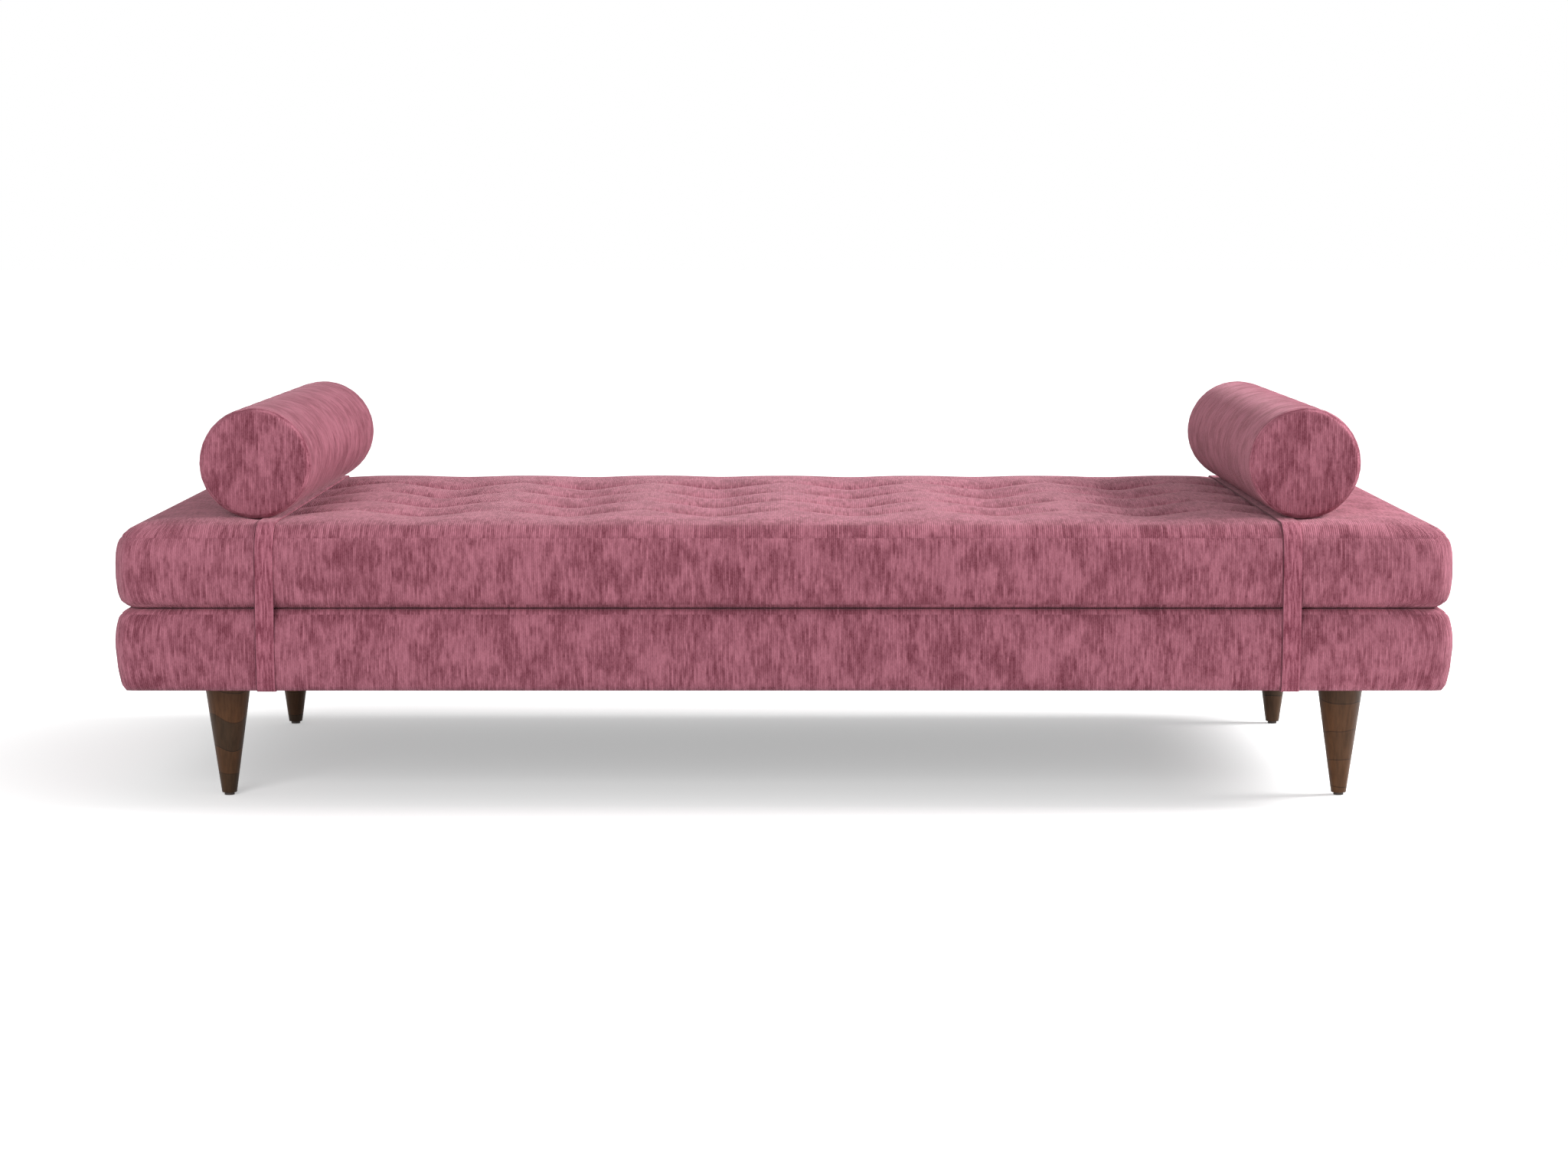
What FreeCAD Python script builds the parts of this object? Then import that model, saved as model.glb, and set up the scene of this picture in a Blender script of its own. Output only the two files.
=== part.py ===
import FreeCAD, Part
import os
import re
import Sketcher

# A low daybed: an upholstered platform on four turned legs, a tufted mattress that lies on it,
# and a round bolster near each end.  A webbing strap under each bolster runs round the mattress
# and the platform.  X is left to right, Y is front to back, Z is up.  The origin is on the
# floor, under the middle of the bed.  Every length is in millimetres.

TUFT_COLUMNS = 8
TUFT_ROWS = 4
# An edge counts as flat when it is thinner than this, in millimetres.
ROUNDING = 0.01
DEGREES_PER_RADIAN = 57.29578

SIZES = [
    ("overall_length", 2032.0, "left to right over the upholstery"),
    ("overall_depth", 1016.0, "front to back over the upholstery"),
    ("leg_height", 178.0, "floor to the underside of the platform"),
    ("platform_height", 124.0, "underside to top of the platform"),
    ("platform_corner", 20.0, "upright corner radius of the platform"),
    ("platform_rim", 6.0, "top edge radius of the platform"),
    ("platform_heel", 8.0, "bottom edge radius of the platform"),
    ("platform_seam_drop", 8.5, "top of the platform down to its seam"),
    ("cover_wall", 2.5, "thickness of the woven cover"),
    ("fabric_slack", 0.3, "space between a cover and its filling"),
    ("turn_under", 38.0, "width of the cover turned under the frame"),
    ("dust_cover_wall", 0.8, "thickness of the cloth under the frame"),
    ("dust_cover_inset", 16.0, "face of the platform to the edge of that cloth"),
    ("side_foam", 12.0, "foam between the frame and the cover"),
    ("top_foam", 12.0, "foam between the deck and the cover"),
    ("deck_wall", 12.0, "thickness of the plywood deck"),
    ("rail_wall", 25.0, "thickness of the frame rails"),
    ("bearer_wall", 25.0, "thickness of the cross bearers"),
    ("bearer_height", 70.0, "height of the cross bearers"),
    ("bearer_spacing", 430.0, "middle bearer to its neighbour"),
    ("glue_block_side", 45.0, "side of a corner glue block"),
    ("glue_block_height", 70.0, "height of a corner glue block"),
    ("leg_board_width", 140.0, "width of the board that takes a pair of legs"),
    ("leg_board_wall", 38.0, "thickness of that board"),
    ("leg_inset_x", 155.0, "end face of the platform to the leg centre"),
    ("leg_inset_y", 121.0, "front or back face of the platform to the leg centre"),
    ("leg_top_radius", 36.0, "leg radius under the platform"),
    ("leg_tip_radius", 11.6, "leg radius at the glide"),
    ("glide_radius", 7.8, "radius of the nail-on glide"),
    ("glide_height", 4.0, "height of the glide under the leg"),
    ("nail_radius", 1.25, "radius of the glide's nail"),
    ("nail_length", 18.0, "length of that nail in the leg"),
    ("bolt_radius", 4.0, "radius of the leg's hanger bolt"),
    ("bolt_depth", 45.0, "depth of the bolt in the leg"),
    ("metal_fit", 0.05, "space round a bolt or a nail"),
    ("tee_nut_radius", 5.5, "barrel radius of the tee nut"),
    ("tee_nut_length", 12.0, "barrel length of the tee nut"),
    ("tee_nut_flange", 11.0, "flange radius of the tee nut"),
    ("tee_nut_plate", 1.5, "flange thickness of the tee nut"),
    ("screw_radius", 2.0, "core radius of a wood screw"),
    ("screw_length", 55.0, "length of a frame screw"),
    ("deck_screw_length", 35.0, "length of a deck screw"),
    ("deck_screw_offset", 40.0, "side step that keeps a deck screw clear of the frame screws"),
    ("screw_margin", 15.0, "edge of a rail's neighbour to its frame screws"),
    ("leg_screw_low", 12.0, "bottom of the rails to the lower screw of a leg board"),
    ("leg_screw_drop", 8.0, "top of a leg board to its upper screw"),
    ("screw_head_radius", 4.5, "head radius of a wood screw"),
    ("screw_head_height", 3.0, "height of the countersunk head"),
    ("staple_length", 10.0, "length of a staple's crown"),
    ("staple_width", 1.2, "width of a staple's crown"),
    ("staple_height", 0.6, "height of a staple's crown"),
    ("staple_inset", 26.0, "face of the platform to the line of staples"),
    ("mattress_height", 127.5, "underside to top of the mattress"),
    ("mattress_corner", 36.0, "upright corner radius of the mattress"),
    ("mattress_rim", 32.0, "top edge radius of the mattress"),
    ("mattress_heel", 12.0, "bottom edge radius of the mattress"),
    ("mattress_seam_drop", 20.0, "top of the mattress down to its upper seam"),
    ("mattress_seam_rise", 6.0, "underside of the mattress up to its lower seam"),
    ("rest_gap", 0.3, "space between parts that rest on each other"),
    ("wadding_wall", 25.0, "thickness of the fibre wadding under the top panel"),
    ("tuft_edge_x", 230.0, "end face to the first column of tufts"),
    ("tuft_edge_y", 232.0, "front face to the first row of tufts"),
    ("tie_radius", 1.0, "radius of a tuft tie"),
    ("tie_slot", 0.5, "space round a tuft tie in the filling"),
    ("zip_width", 24.0, "width of a zip's tape"),
    ("zip_wall", 1.0, "thickness of a zip's tape"),
    ("zip_chain_width", 5.0, "width of a zip's teeth"),
    ("zip_chain_wall", 1.0, "height of a zip's teeth over the tape"),
    ("zip_fit", 0.1, "space between a zip's teeth and its slider"),
    ("slider_width", 9.0, "width of a zip's slider"),
    ("slider_length", 12.0, "length of a zip's slider"),
    ("slider_wall", 1.3, "thickness of the mattress zip's slider"),
    ("mattress_zip_length", 800.0, "length of the mattress zip"),
    ("mattress_zip_rise", 26.0, "underside of the mattress to the middle of its zip"),
    ("zip_window", 18.0, "height of the opening in the border for the zip"),
    ("bolster_radius", 86.0, "radius of a bolster"),
    ("bolster_length", 830.0, "length of a bolster"),
    ("bolster_edge", 14.0, "radius of a bolster's end edge"),
    ("bolster_seam_inset", 6.0, "end of a bolster to its seam"),
    ("bolster_left_inset", 211.0, "left end face to the left bolster's axis"),
    ("bolster_right_inset", 223.0, "right end face to the right bolster's axis"),
    ("bolster_zip_length", 620.0, "length of a bolster's zip"),
    ("strap_width", 29.0, "width of the webbing"),
    ("strap_wall", 2.3, "thickness of the webbing"),
    ("strap_left_offset", 19.0, "left bolster's axis to the middle of its strap"),
    ("strap_right_offset", 25.0, "right bolster's axis to the middle of its strap"),
    ("strap_hang", 1.0, "space between the platform and the run under it"),
    ("strap_turn", 12.0, "underside of the platform up to where the lower run ends"),
]

doc = FreeCAD.newDocument("Daybed")
sheet = doc.addObject("Spreadsheet::Sheet", "Sizes")
for row, (alias, value, meaning) in enumerate(SIZES, start=1):
    sheet.set(f"A{row}", meaning)
    sheet.set(f"B{row}", str(value))
    sheet.setAlias(f"B{row}", alias)
doc.recompute()

ALIASES = {alias for alias, value, meaning in SIZES}
TURNS = {
    "x": FreeCAD.Rotation(FreeCAD.Vector(0, 1, 0), 90),
    "y": FreeCAD.Rotation(FreeCAD.Vector(1, 0, 0), -90),
    "-y": FreeCAD.Rotation(FreeCAD.Vector(1, 0, 0), 90),
    "z": FreeCAD.Rotation(),
    "-z": FreeCAD.Rotation(FreeCAD.Vector(1, 0, 0), 180),
}
sub_parts = []

# Places that several pieces share, as expressions over the sheet.
END = "overall_length / 2"
FRONT = "overall_depth / 2"
PLATFORM_TOP = "leg_height + platform_height"
COVER_LOW = "leg_height + dust_cover_wall"
RAIL_LOW = f"{COVER_LOW} + cover_wall"
DECK_TOP = f"{PLATFORM_TOP} - cover_wall - fabric_slack - top_foam"
DECK_LOW = f"{DECK_TOP} - deck_wall"
FRAME_INSET = "cover_wall + fabric_slack + side_foam"
FRAME_END = f"{END} - ({FRAME_INSET})"
FRAME_FRONT = f"{FRONT} - ({FRAME_INSET})"
INNER_END = f"{FRAME_END} - rail_wall"
INNER_FRONT = f"{FRAME_FRONT} - rail_wall"
LEG_X = f"{END} - leg_inset_x"
LEG_Y = f"{FRONT} - leg_inset_y"
LEG_BOARD_TOP = f"{COVER_LOW} + leg_board_wall"
MATTRESS_LOW = f"{PLATFORM_TOP} + rest_gap"
MATTRESS_TOP = f"{MATTRESS_LOW} + mattress_height"
UPPER_SEAM = f"{MATTRESS_TOP} - mattress_seam_drop"
LOWER_SEAM = f"{MATTRESS_LOW} + mattress_seam_rise"
WADDING_LOW = f"{MATTRESS_TOP} - cover_wall - fabric_slack - wadding_wall"
STRAP_TOP = f"{MATTRESS_TOP} + rest_gap + strap_wall"
BOLSTER_AXIS = f"{STRAP_TOP} + rest_gap + bolster_radius"
ZIP_MIDDLE = f"{MATTRESS_LOW} + mattress_zip_rise"
BEYOND = "overall_length"


def from_sheet(text):
    """Turn each size's name in an expression into a reference to the sheet."""
    return re.sub("[a-z_]+", lambda word: word.group() if word.group() not in ALIASES
                  else "Sizes." + word.group(), text)


def bind(piece, prop, text):
    """Tie one property of a piece to the sheet."""
    piece.setExpression(prop, from_sheet(text))


def place(piece, x, y, z):
    """Tie a piece's place to the sheet."""
    for axis, text in zip("xyz", (x, y, z)):
        bind(piece, f"Placement.Base.{axis}", text)


def either_side(reach):
    """The two limits of something that is centred."""
    return (f"-({reach})", reach)


def grown(limits, by):
    """Two limits, each moved outwards."""
    return (f"{limits[0]} - ({by})", f"{limits[1]} + ({by})")


def fit_box(piece, x, y, z):
    """Give a box its sides and its place from three pairs of limits."""
    for prop, (low, high) in zip(("Length", "Width", "Height"), (x, y, z)):
        bind(piece, prop, f"({high}) - ({low})")
    place(piece, x[0], y[0], z[0])


def block(name, x, y, z):
    """A plain box between three pairs of limits."""
    piece = doc.addObject("Part::Box", name)
    fit_box(piece, x, y, z)
    return piece


def rod(name, along, radius, start, length):
    """A round bar from a start point along one axis."""
    piece = doc.addObject("Part::Cylinder", name)
    bind(piece, "Radius", radius)
    bind(piece, "Height", length)
    piece.Placement = FreeCAD.Placement(FreeCAD.Vector(), TURNS[along])
    place(piece, *start)
    return piece


def cone(name, along, radii, start, length):
    """A tapered bar from a start point along one axis."""
    piece = doc.addObject("Part::Cone", name)
    bind(piece, "Radius1", radii[0])
    bind(piece, "Radius2", radii[1])
    bind(piece, "Height", length)
    piece.Placement = FreeCAD.Placement(FreeCAD.Vector(), TURNS[along])
    place(piece, *start)
    return piece


def cut(name, base, tool):
    """The base less the tool."""
    piece = doc.addObject("Part::Cut", name)
    piece.Base = base
    piece.Tool = tool
    return piece


def common(name, base, tool):
    """What two pieces share."""
    piece = doc.addObject("Part::Common", name)
    piece.Base = base
    piece.Tool = tool
    return piece


def fuse(name, pieces):
    """Several pieces as one solid."""
    piece = doc.addObject("Part::MultiFuse", name)
    piece.Shapes = pieces
    return piece


def group(name, pieces):
    """Several separate solids kept together."""
    piece = doc.addObject("Part::Compound", name)
    piece.Links = pieces
    return piece


def keep(piece, label):
    """Name a finished sub-part; the label is also its file's name."""
    piece.Label = label
    sub_parts.append(piece)
    return piece


def is_upright(edge):
    """An edge that runs up."""
    return abs(edge.tangentAt(edge.FirstParameter).z) > 0.99


def at_height(edge, level):
    """An edge that lies at one level."""
    box = edge.BoundBox
    return abs(box.ZMin - level) < 0.01 and abs(box.ZMax - level) < 0.01


def runs_across(edge):
    """An edge that runs along X."""
    return abs(edge.tangentAt(edge.FirstParameter).x) > 0.99


def round_off(body, base, radius, wanted):
    """Round the wanted edges of the last feature of a body."""
    doc.recompute()
    names = [f"Edge{number}" for number, edge in enumerate(base.Shape.Edges, start=1) if wanted(edge)]
    feature = body.newObject("PartDesign::Fillet", body.Name + "_round")
    feature.Base = (base, names)
    bind(feature, "Radius", radius)
    doc.recompute()
    return feature


def soft_block(name, x, y, z, corner, rim, heel):
    """A box with rounded corners and edges, as a padded thing has."""
    body = doc.addObject("PartDesign::Body", name)
    base = body.newObject("PartDesign::AdditiveBox", name + "_box")
    fit_box(base, x, y, z)
    doc.recompute()
    low, high = base.Shape.BoundBox.ZMin, base.Shape.BoundBox.ZMax
    feature = round_off(body, base, corner, is_upright)
    feature = round_off(body, feature, rim, lambda edge: at_height(edge, high))
    round_off(body, feature, heel, lambda edge: at_height(edge, low))
    return body


def bent_block(name, x, y, z, rim, heel):
    """A box whose edges along X are rounded, for webbing that turns over them."""
    body = doc.addObject("PartDesign::Body", name)
    base = body.newObject("PartDesign::AdditiveBox", name + "_box")
    fit_box(base, x, y, z)
    doc.recompute()
    low, high = base.Shape.BoundBox.ZMin, base.Shape.BoundBox.ZMax
    feature = round_off(body, base, rim, lambda edge: runs_across(edge) and at_height(edge, high))
    round_off(body, feature, heel, lambda edge: runs_across(edge) and at_height(edge, low))
    return body


def wood_screw(name, along, start, length):
    """A countersunk screw whose head is level with its start."""
    shank = rod(name + "_shank", along, "screw_radius", start, length)
    head = cone(name + "_head", along, ("screw_head_radius", "screw_radius"), start, "screw_head_height")
    return fuse(name, [shank, head])


# The frame under the upholstery.

def make_rails():
    """Front and back rails run the whole length, and the end rails fit between them."""
    height = (RAIL_LOW, DECK_LOW)
    whole = either_side(FRAME_END)
    between = either_side(INNER_FRONT)
    keep(block("front", whole, (f"-({FRAME_FRONT})", f"-({INNER_FRONT})"), height), "front_rail")
    keep(block("back", whole, (INNER_FRONT, FRAME_FRONT), height), "back_rail")
    keep(block("left", (f"-({FRAME_END})", f"-({INNER_END})"), between, height), "left_end_rail")
    keep(block("right", (INNER_END, FRAME_END), between, height), "right_end_rail")


def make_leg_board(side, sign):
    """A board across the frame that takes one pair of legs, drilled for their tee nuts."""
    middle = f"{sign} * ({LEG_X})"
    board = block("board", (f"{middle} - leg_board_width / 2", f"{middle} + leg_board_width / 2"),
                  either_side(INNER_FRONT), (COVER_LOW, LEG_BOARD_TOP))
    holes = [rod("hole", "z", "tee_nut_radius + metal_fit", (middle, f"{way} * ({LEG_Y})", "leg_height"),
                 "leg_board_wall + leg_height") for way in (-1, 1)]
    keep(cut("drilled", board, group("holes", holes)), f"{side}_leg_board")


def make_bearers():
    """Three bearers on edge carry the middle of the deck."""
    for name, step in (("bearer_left", -1), ("bearer_centre", 0), ("bearer_right", 1)):
        middle = f"{step} * bearer_spacing"
        keep(block("bearer", (f"{middle} - bearer_wall / 2", f"{middle} + bearer_wall / 2"),
                   either_side(INNER_FRONT), (f"{DECK_LOW} - bearer_height", DECK_LOW)), name)


def corner_outline(body):
    """A right-angled triangle whose two equal sides are the glue block's side."""
    plane = [item for item in body.Origin.OriginFeatures if item.Role == "XY_Plane"][0]
    sketch = body.newObject("Sketcher::SketchObject", "glue_outline")
    sketch.AttachmentSupport = [(plane, "")]
    sketch.MapMode = "FlatFace"
    side = sheet.get("glue_block_side")
    corners = [FreeCAD.Vector(0, 0), FreeCAD.Vector(side, 0), FreeCAD.Vector(0, side)]
    for first, second in zip(corners, corners[1:] + corners[:1]):
        sketch.addGeometry(Part.LineSegment(first, second))
    for line in range(3):
        sketch.addConstraint(Sketcher.Constraint("Coincident", line, 2, (line + 1) % 3, 1))
    sketch.addConstraint(Sketcher.Constraint("Coincident", 0, 1, -1, 1))
    sketch.addConstraint(Sketcher.Constraint("Horizontal", 0))
    sketch.addConstraint(Sketcher.Constraint("Vertical", 2))
    for name, line in (("along", 0), ("across", 2)):
        number = sketch.addConstraint(Sketcher.Constraint("Distance", line, side))
        sketch.renameConstraint(number, name)
        bind(sketch, f"Constraints.{name}", "glue_block_side")
    return sketch


def make_glue_blocks():
    """A three-cornered block glued into each corner of the frame."""
    blocks = []
    for x_sign, y_sign, turn in ((-1, -1, 0), (1, -1, 90), (1, 1, 180), (-1, 1, 270)):
        body = doc.addObject("PartDesign::Body", "glue_block")
        pad = body.newObject("PartDesign::Pad", "glue_pad")
        pad.Profile = corner_outline(body)
        bind(pad, "Length", "glue_block_height")
        spin = FreeCAD.Rotation(FreeCAD.Vector(0, 0, 1), turn)
        body.Placement = FreeCAD.Placement(FreeCAD.Vector(), spin)
        place(body, f"{x_sign} * ({INNER_END})", f"{y_sign} * ({INNER_FRONT})",
              f"{DECK_LOW} - glue_block_height")
        blocks.append(body)
    keep(group("glue_blocks", blocks), "corner_glue_blocks")


def make_frame_screws():
    """Pairs of screws through the long rails into everything that meets them."""
    screws = []
    low, high = f"{RAIL_LOW} + leg_screw_low", f"{LEG_BOARD_TOP} - leg_screw_drop"
    deep, shallow = f"{DECK_LOW} - bearer_height + screw_margin", f"{DECK_LOW} - screw_margin"
    for sign in (-1, 1):
        leg_board = f"{sign} * ({LEG_X})"
        end_rail = f"{sign} * ({FRAME_END} - rail_wall / 2)"
        bearer = f"{sign} * bearer_spacing"
        screws += [(f"{leg_board} - leg_board_width / 4", low), (f"{leg_board} + leg_board_width / 4", high)]
        screws += [(end_rail, deep), (end_rail, shallow), (bearer, deep), (bearer, shallow)]
    screws += [("0", deep), ("0", shallow)]
    made = []
    for x, z in screws:
        made.append(wood_screw("screw", "y", (x, f"-({FRAME_FRONT})", z), "screw_length"))
        made.append(wood_screw("screw", "-y", (x, FRAME_FRONT, z), "screw_length"))
    keep(group("rail_screws", made), "frame_screws")


def make_deck():
    """A plywood deck on the rails and bearers, screwed down through its face."""
    keep(block("deck", either_side(FRAME_END), either_side(FRAME_FRONT), (DECK_LOW, DECK_TOP)), "deck_panel")
    row = f"{FRAME_FRONT} - rail_wall / 2"
    places = []
    for step in (-1, 0, 1):
        bearer = f"{step} * bearer_spacing"
        beside = f"{bearer} + deck_screw_offset"
        places += [(bearer, "0"), (beside, row), (beside, f"-({row})")]
    for sign in (-1, 1):
        rail = f"{sign} * ({FRAME_END} - rail_wall / 2)"
        beside = f"{rail} - {sign} * deck_screw_offset"
        places += [(rail, "0"), (beside, row), (beside, f"-({row})")]
    made = [wood_screw("deck_screw", "-z", (x, y, DECK_TOP), "deck_screw_length") for x, y in places]
    keep(group("deck_fixings", made), "deck_screws")


# The platform's upholstery.

def platform_block(name, inset, low):
    """The platform's outer form, or the same form drawn in by an even amount."""
    return soft_block(name, either_side(f"{END} - ({inset})"), either_side(f"{FRONT} - ({inset})"),
                      (low, f"{PLATFORM_TOP} - ({inset})"), f"platform_corner - ({inset})",
                      f"platform_rim - ({inset})", f"platform_heel - ({inset})")


def make_platform_cover():
    """A top panel sewn to a side band, which is turned under the frame."""
    outside = platform_block("cover_outside", "0", COVER_LOW)
    inside = platform_block("cover_inside", "cover_wall", RAIL_LOW)
    mouth = block("cover_mouth", either_side(f"{END} - turn_under"), either_side(f"{FRONT} - turn_under"),
                  ("leg_height", f"{RAIL_LOW} + side_foam"))
    shell = cut("cover_shell", cut("cover_skin", outside, inside), mouth)
    seam = f"{PLATFORM_TOP} - platform_seam_drop"
    above = block("above_seam", either_side(BEYOND), either_side(BEYOND), (seam, f"{seam} + platform_height"))
    keep(common("top_panel", shell, above), "platform_top_panel")
    below = block("below_seam", either_side(BEYOND), either_side(BEYOND), ("0", seam))
    keep(common("side_band", shell, below), "platform_side_band")


def make_platform_foam():
    """A foam slab on the deck and a foam band round the rails."""
    filling = platform_block("platform_filling", "cover_wall + fabric_slack", f"{RAIL_LOW} + fabric_slack")
    above = block("over_deck", either_side(BEYOND), either_side(BEYOND),
                  (DECK_TOP, f"{DECK_TOP} + platform_height"))
    keep(common("slab", filling, above), "platform_top_foam")
    below = block("beside_deck", either_side(BEYOND), either_side(BEYOND), ("0", DECK_TOP))
    frame = block("frame_room", either_side(FRAME_END), either_side(FRAME_FRONT), ("0", PLATFORM_TOP))
    keep(cut("foam_band", common("foam_ring", filling, below), frame), "platform_side_foam")


def make_dust_cover():
    """Thin cloth that closes the frame from below, with a hole for each leg bolt."""
    cloth = block("cloth", either_side(f"{END} - dust_cover_inset"),
                  either_side(f"{FRONT} - dust_cover_inset"), ("leg_height", COVER_LOW))
    holes = [rod("cloth_hole", "z", "bolt_radius + fabric_slack",
                 (f"{x} * ({LEG_X})", f"{y} * ({LEG_Y})", "leg_height - bolt_depth"), "2 * bolt_depth")
             for x in (-1, 1) for y in (-1, 1)]
    keep(cut("pierced_cloth", cloth, group("cloth_holes", holes)), "dust_cover")


STAPLES_EACH_WAY_LONG = 9
STAPLES_EACH_WAY_SHORT = 4
STAPLE_END_MARGIN = 0.5


def make_staples():
    """A line of staples round the edge of the cloth."""
    crowns = []
    height = ("leg_height - staple_height", "leg_height")
    for sign in (-1, 1):
        line = f"{sign} * ({FRONT} - staple_inset)"
        for step in range(-STAPLES_EACH_WAY_LONG, STAPLES_EACH_WAY_LONG + 1):
            share = step / (STAPLES_EACH_WAY_LONG + STAPLE_END_MARGIN)
            middle = f"{share} * ({END} - staple_inset)"
            crowns.append(block("crown", (f"{middle} - staple_length / 2", f"{middle} + staple_length / 2"),
                                (f"{line} - staple_width / 2", f"{line} + staple_width / 2"), height))
        line = f"{sign} * ({END} - staple_inset)"
        for step in range(-STAPLES_EACH_WAY_SHORT, STAPLES_EACH_WAY_SHORT + 1):
            share = step / (STAPLES_EACH_WAY_SHORT + STAPLE_END_MARGIN)
            middle = f"{share} * ({FRONT} - staple_inset)"
            crowns.append(block("crown", (f"{line} - staple_width / 2", f"{line} + staple_width / 2"),
                                (f"{middle} - staple_length / 2", f"{middle} + staple_length / 2"), height))
    keep(group("crowns", crowns), "cover_staples")


# The legs.

def leg_outline(body):
    """Half of the leg's section: a taper, with a bolt hole at its top and a nail hole at its tip."""
    plane = [item for item in body.Origin.OriginFeatures if item.Role == "XZ_Plane"][0]
    sketch = body.newObject("Sketcher::SketchObject", "leg_outline")
    sketch.AttachmentSupport = [(plane, "")]
    sketch.MapMode = "FlatFace"
    nail_top = ("glide_height", "nail_length")
    bolt_low = ("leg_height", "-bolt_depth")
    corners = [
        ((), nail_top), (("nail_radius", "metal_fit"), nail_top),
        (("nail_radius", "metal_fit"), ("glide_height",)),
        (("leg_tip_radius",), ("glide_height",)), (("leg_top_radius",), ("leg_height",)),
        (("bolt_radius", "metal_fit"), ("leg_height",)), (("bolt_radius", "metal_fit"), bolt_low),
        ((), bolt_low),
    ]
    points = [FreeCAD.Vector(summed(across), summed(up)) for across, up in corners]
    for first, second in zip(points, points[1:] + points[:1]):
        sketch.addGeometry(Part.LineSegment(first, second))
    for line, (across, up) in enumerate(corners):
        sketch.addConstraint(Sketcher.Constraint("Coincident", line, 2, (line + 1) % len(corners), 1))
        if across:
            bound_distance(sketch, "DistanceX", line, across)
        else:
            sketch.addConstraint(Sketcher.Constraint("PointOnObject", line, 1, -2))
        bound_distance(sketch, "DistanceY", line, up)
    return sketch


def summed(names):
    """The total of some sizes, where a minus sign takes one away."""
    return sum(-sheet.get(name[1:]) if name.startswith("-") else sheet.get(name) for name in names)


def bound_distance(sketch, kind, line, names):
    """Tie how far a line's start lies from the sketch's origin to a total of sizes."""
    number = sketch.addConstraint(Sketcher.Constraint(kind, -1, 1, line, 1, summed(names)))
    label = f"{kind}_{line}"
    sketch.renameConstraint(number, label)
    bind(sketch, f"Constraints.{label}", " + ".join(names).replace("+ -", "- "))


def make_leg(name, x_sign, y_sign):
    """One turned leg."""
    body = doc.addObject("PartDesign::Body", "leg")
    turned = body.newObject("PartDesign::Revolution", "turning")
    sketch = leg_outline(body)
    turned.Profile = sketch
    turned.ReferenceAxis = (sketch, ["V_Axis"])
    turned.Angle = 360
    place(body, f"{x_sign} * ({LEG_X})", f"{y_sign} * ({LEG_Y})", "0")
    keep(body, name)


def make_leg_fittings():
    """A hanger bolt, a tee nut and a nail-on glide for each leg."""
    bolts, nuts, glides = [], [], []
    for x_sign in (-1, 1):
        for y_sign in (-1, 1):
            x, y = f"{x_sign} * ({LEG_X})", f"{y_sign} * ({LEG_Y})"
            bolts.append(rod("bolt", "z", "bolt_radius", (x, y, "leg_height - bolt_depth"),
                             "bolt_depth + dust_cover_wall + leg_board_wall + tee_nut_plate"))
            barrel_foot = (x, y, f"{LEG_BOARD_TOP} - tee_nut_length")
            barrel = rod("barrel", "z", "tee_nut_radius", barrel_foot, "tee_nut_length")
            plate = rod("plate", "z", "tee_nut_flange", (x, y, LEG_BOARD_TOP), "tee_nut_plate")
            bore = rod("bore", "z", "bolt_radius + metal_fit", (x, y, COVER_LOW), "2 * leg_board_wall")
            nuts.append(cut("nut", fuse("nut_blank", [barrel, plate]), bore))
            pad = rod("pad", "z", "glide_radius", (x, y, "0"), "glide_height")
            nail = rod("nail", "z", "nail_radius", (x, y, "0"), "glide_height + nail_length")
            glides.append(fuse("glide", [pad, nail]))
    keep(group("bolts", bolts), "leg_hanger_bolts")
    keep(group("nuts", nuts), "leg_tee_nuts")
    keep(group("glides", glides), "leg_glides")


# The mattress.

def mattress_block(name, inset):
    """The mattress's outer form, or the same form drawn in by an even amount."""
    return soft_block(name, either_side(f"{END} - ({inset})"), either_side(f"{FRONT} - ({inset})"),
                      (f"{MATTRESS_LOW} + {inset}", f"{MATTRESS_TOP} - ({inset})"),
                      f"mattress_corner - ({inset})", f"mattress_rim - ({inset})",
                      f"mattress_heel - ({inset})")


def tuft_rods(name, radius, low, high):
    """One upright rod at every tuft."""
    rods = []
    for column in range(TUFT_COLUMNS):
        for line in range(TUFT_ROWS):
            x = f"({column / (TUFT_COLUMNS - 1)} - 0.5) * (overall_length - 2 * tuft_edge_x)"
            y = f"({line / (TUFT_ROWS - 1)} - 0.5) * (overall_depth - 2 * tuft_edge_y)"
            rods.append(rod(name, "z", radius, (x, y, low), f"{high} - ({low})"))
    return group(name + "_set", rods)


def make_mattress_cover():
    """A top panel, a border with an opening for the zip, and a bottom panel."""
    shell = cut("mattress_skin", mattress_block("mattress_outside", "0"),
                mattress_block("mattress_inside", "cover_wall"))
    wide = either_side(BEYOND)
    keep(common("upper", shell, block("upper_room", wide, wide, (UPPER_SEAM, f"{MATTRESS_TOP} + top_foam"))),
         "mattress_top_panel")
    keep(common("lower", shell, block("lower_room", wide, wide, ("0", LOWER_SEAM))), "mattress_bottom_panel")
    band = common("band", shell, block("band_room", wide, wide, (LOWER_SEAM, UPPER_SEAM)))
    window = block("window", (f"{END} - rail_wall", f"{END} + rail_wall"),
                   either_side("mattress_zip_length / 2"),
                   (f"{ZIP_MIDDLE} - zip_window / 2", f"{ZIP_MIDDLE} + zip_window / 2"))
    keep(cut("border", band, window), "mattress_border")


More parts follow.
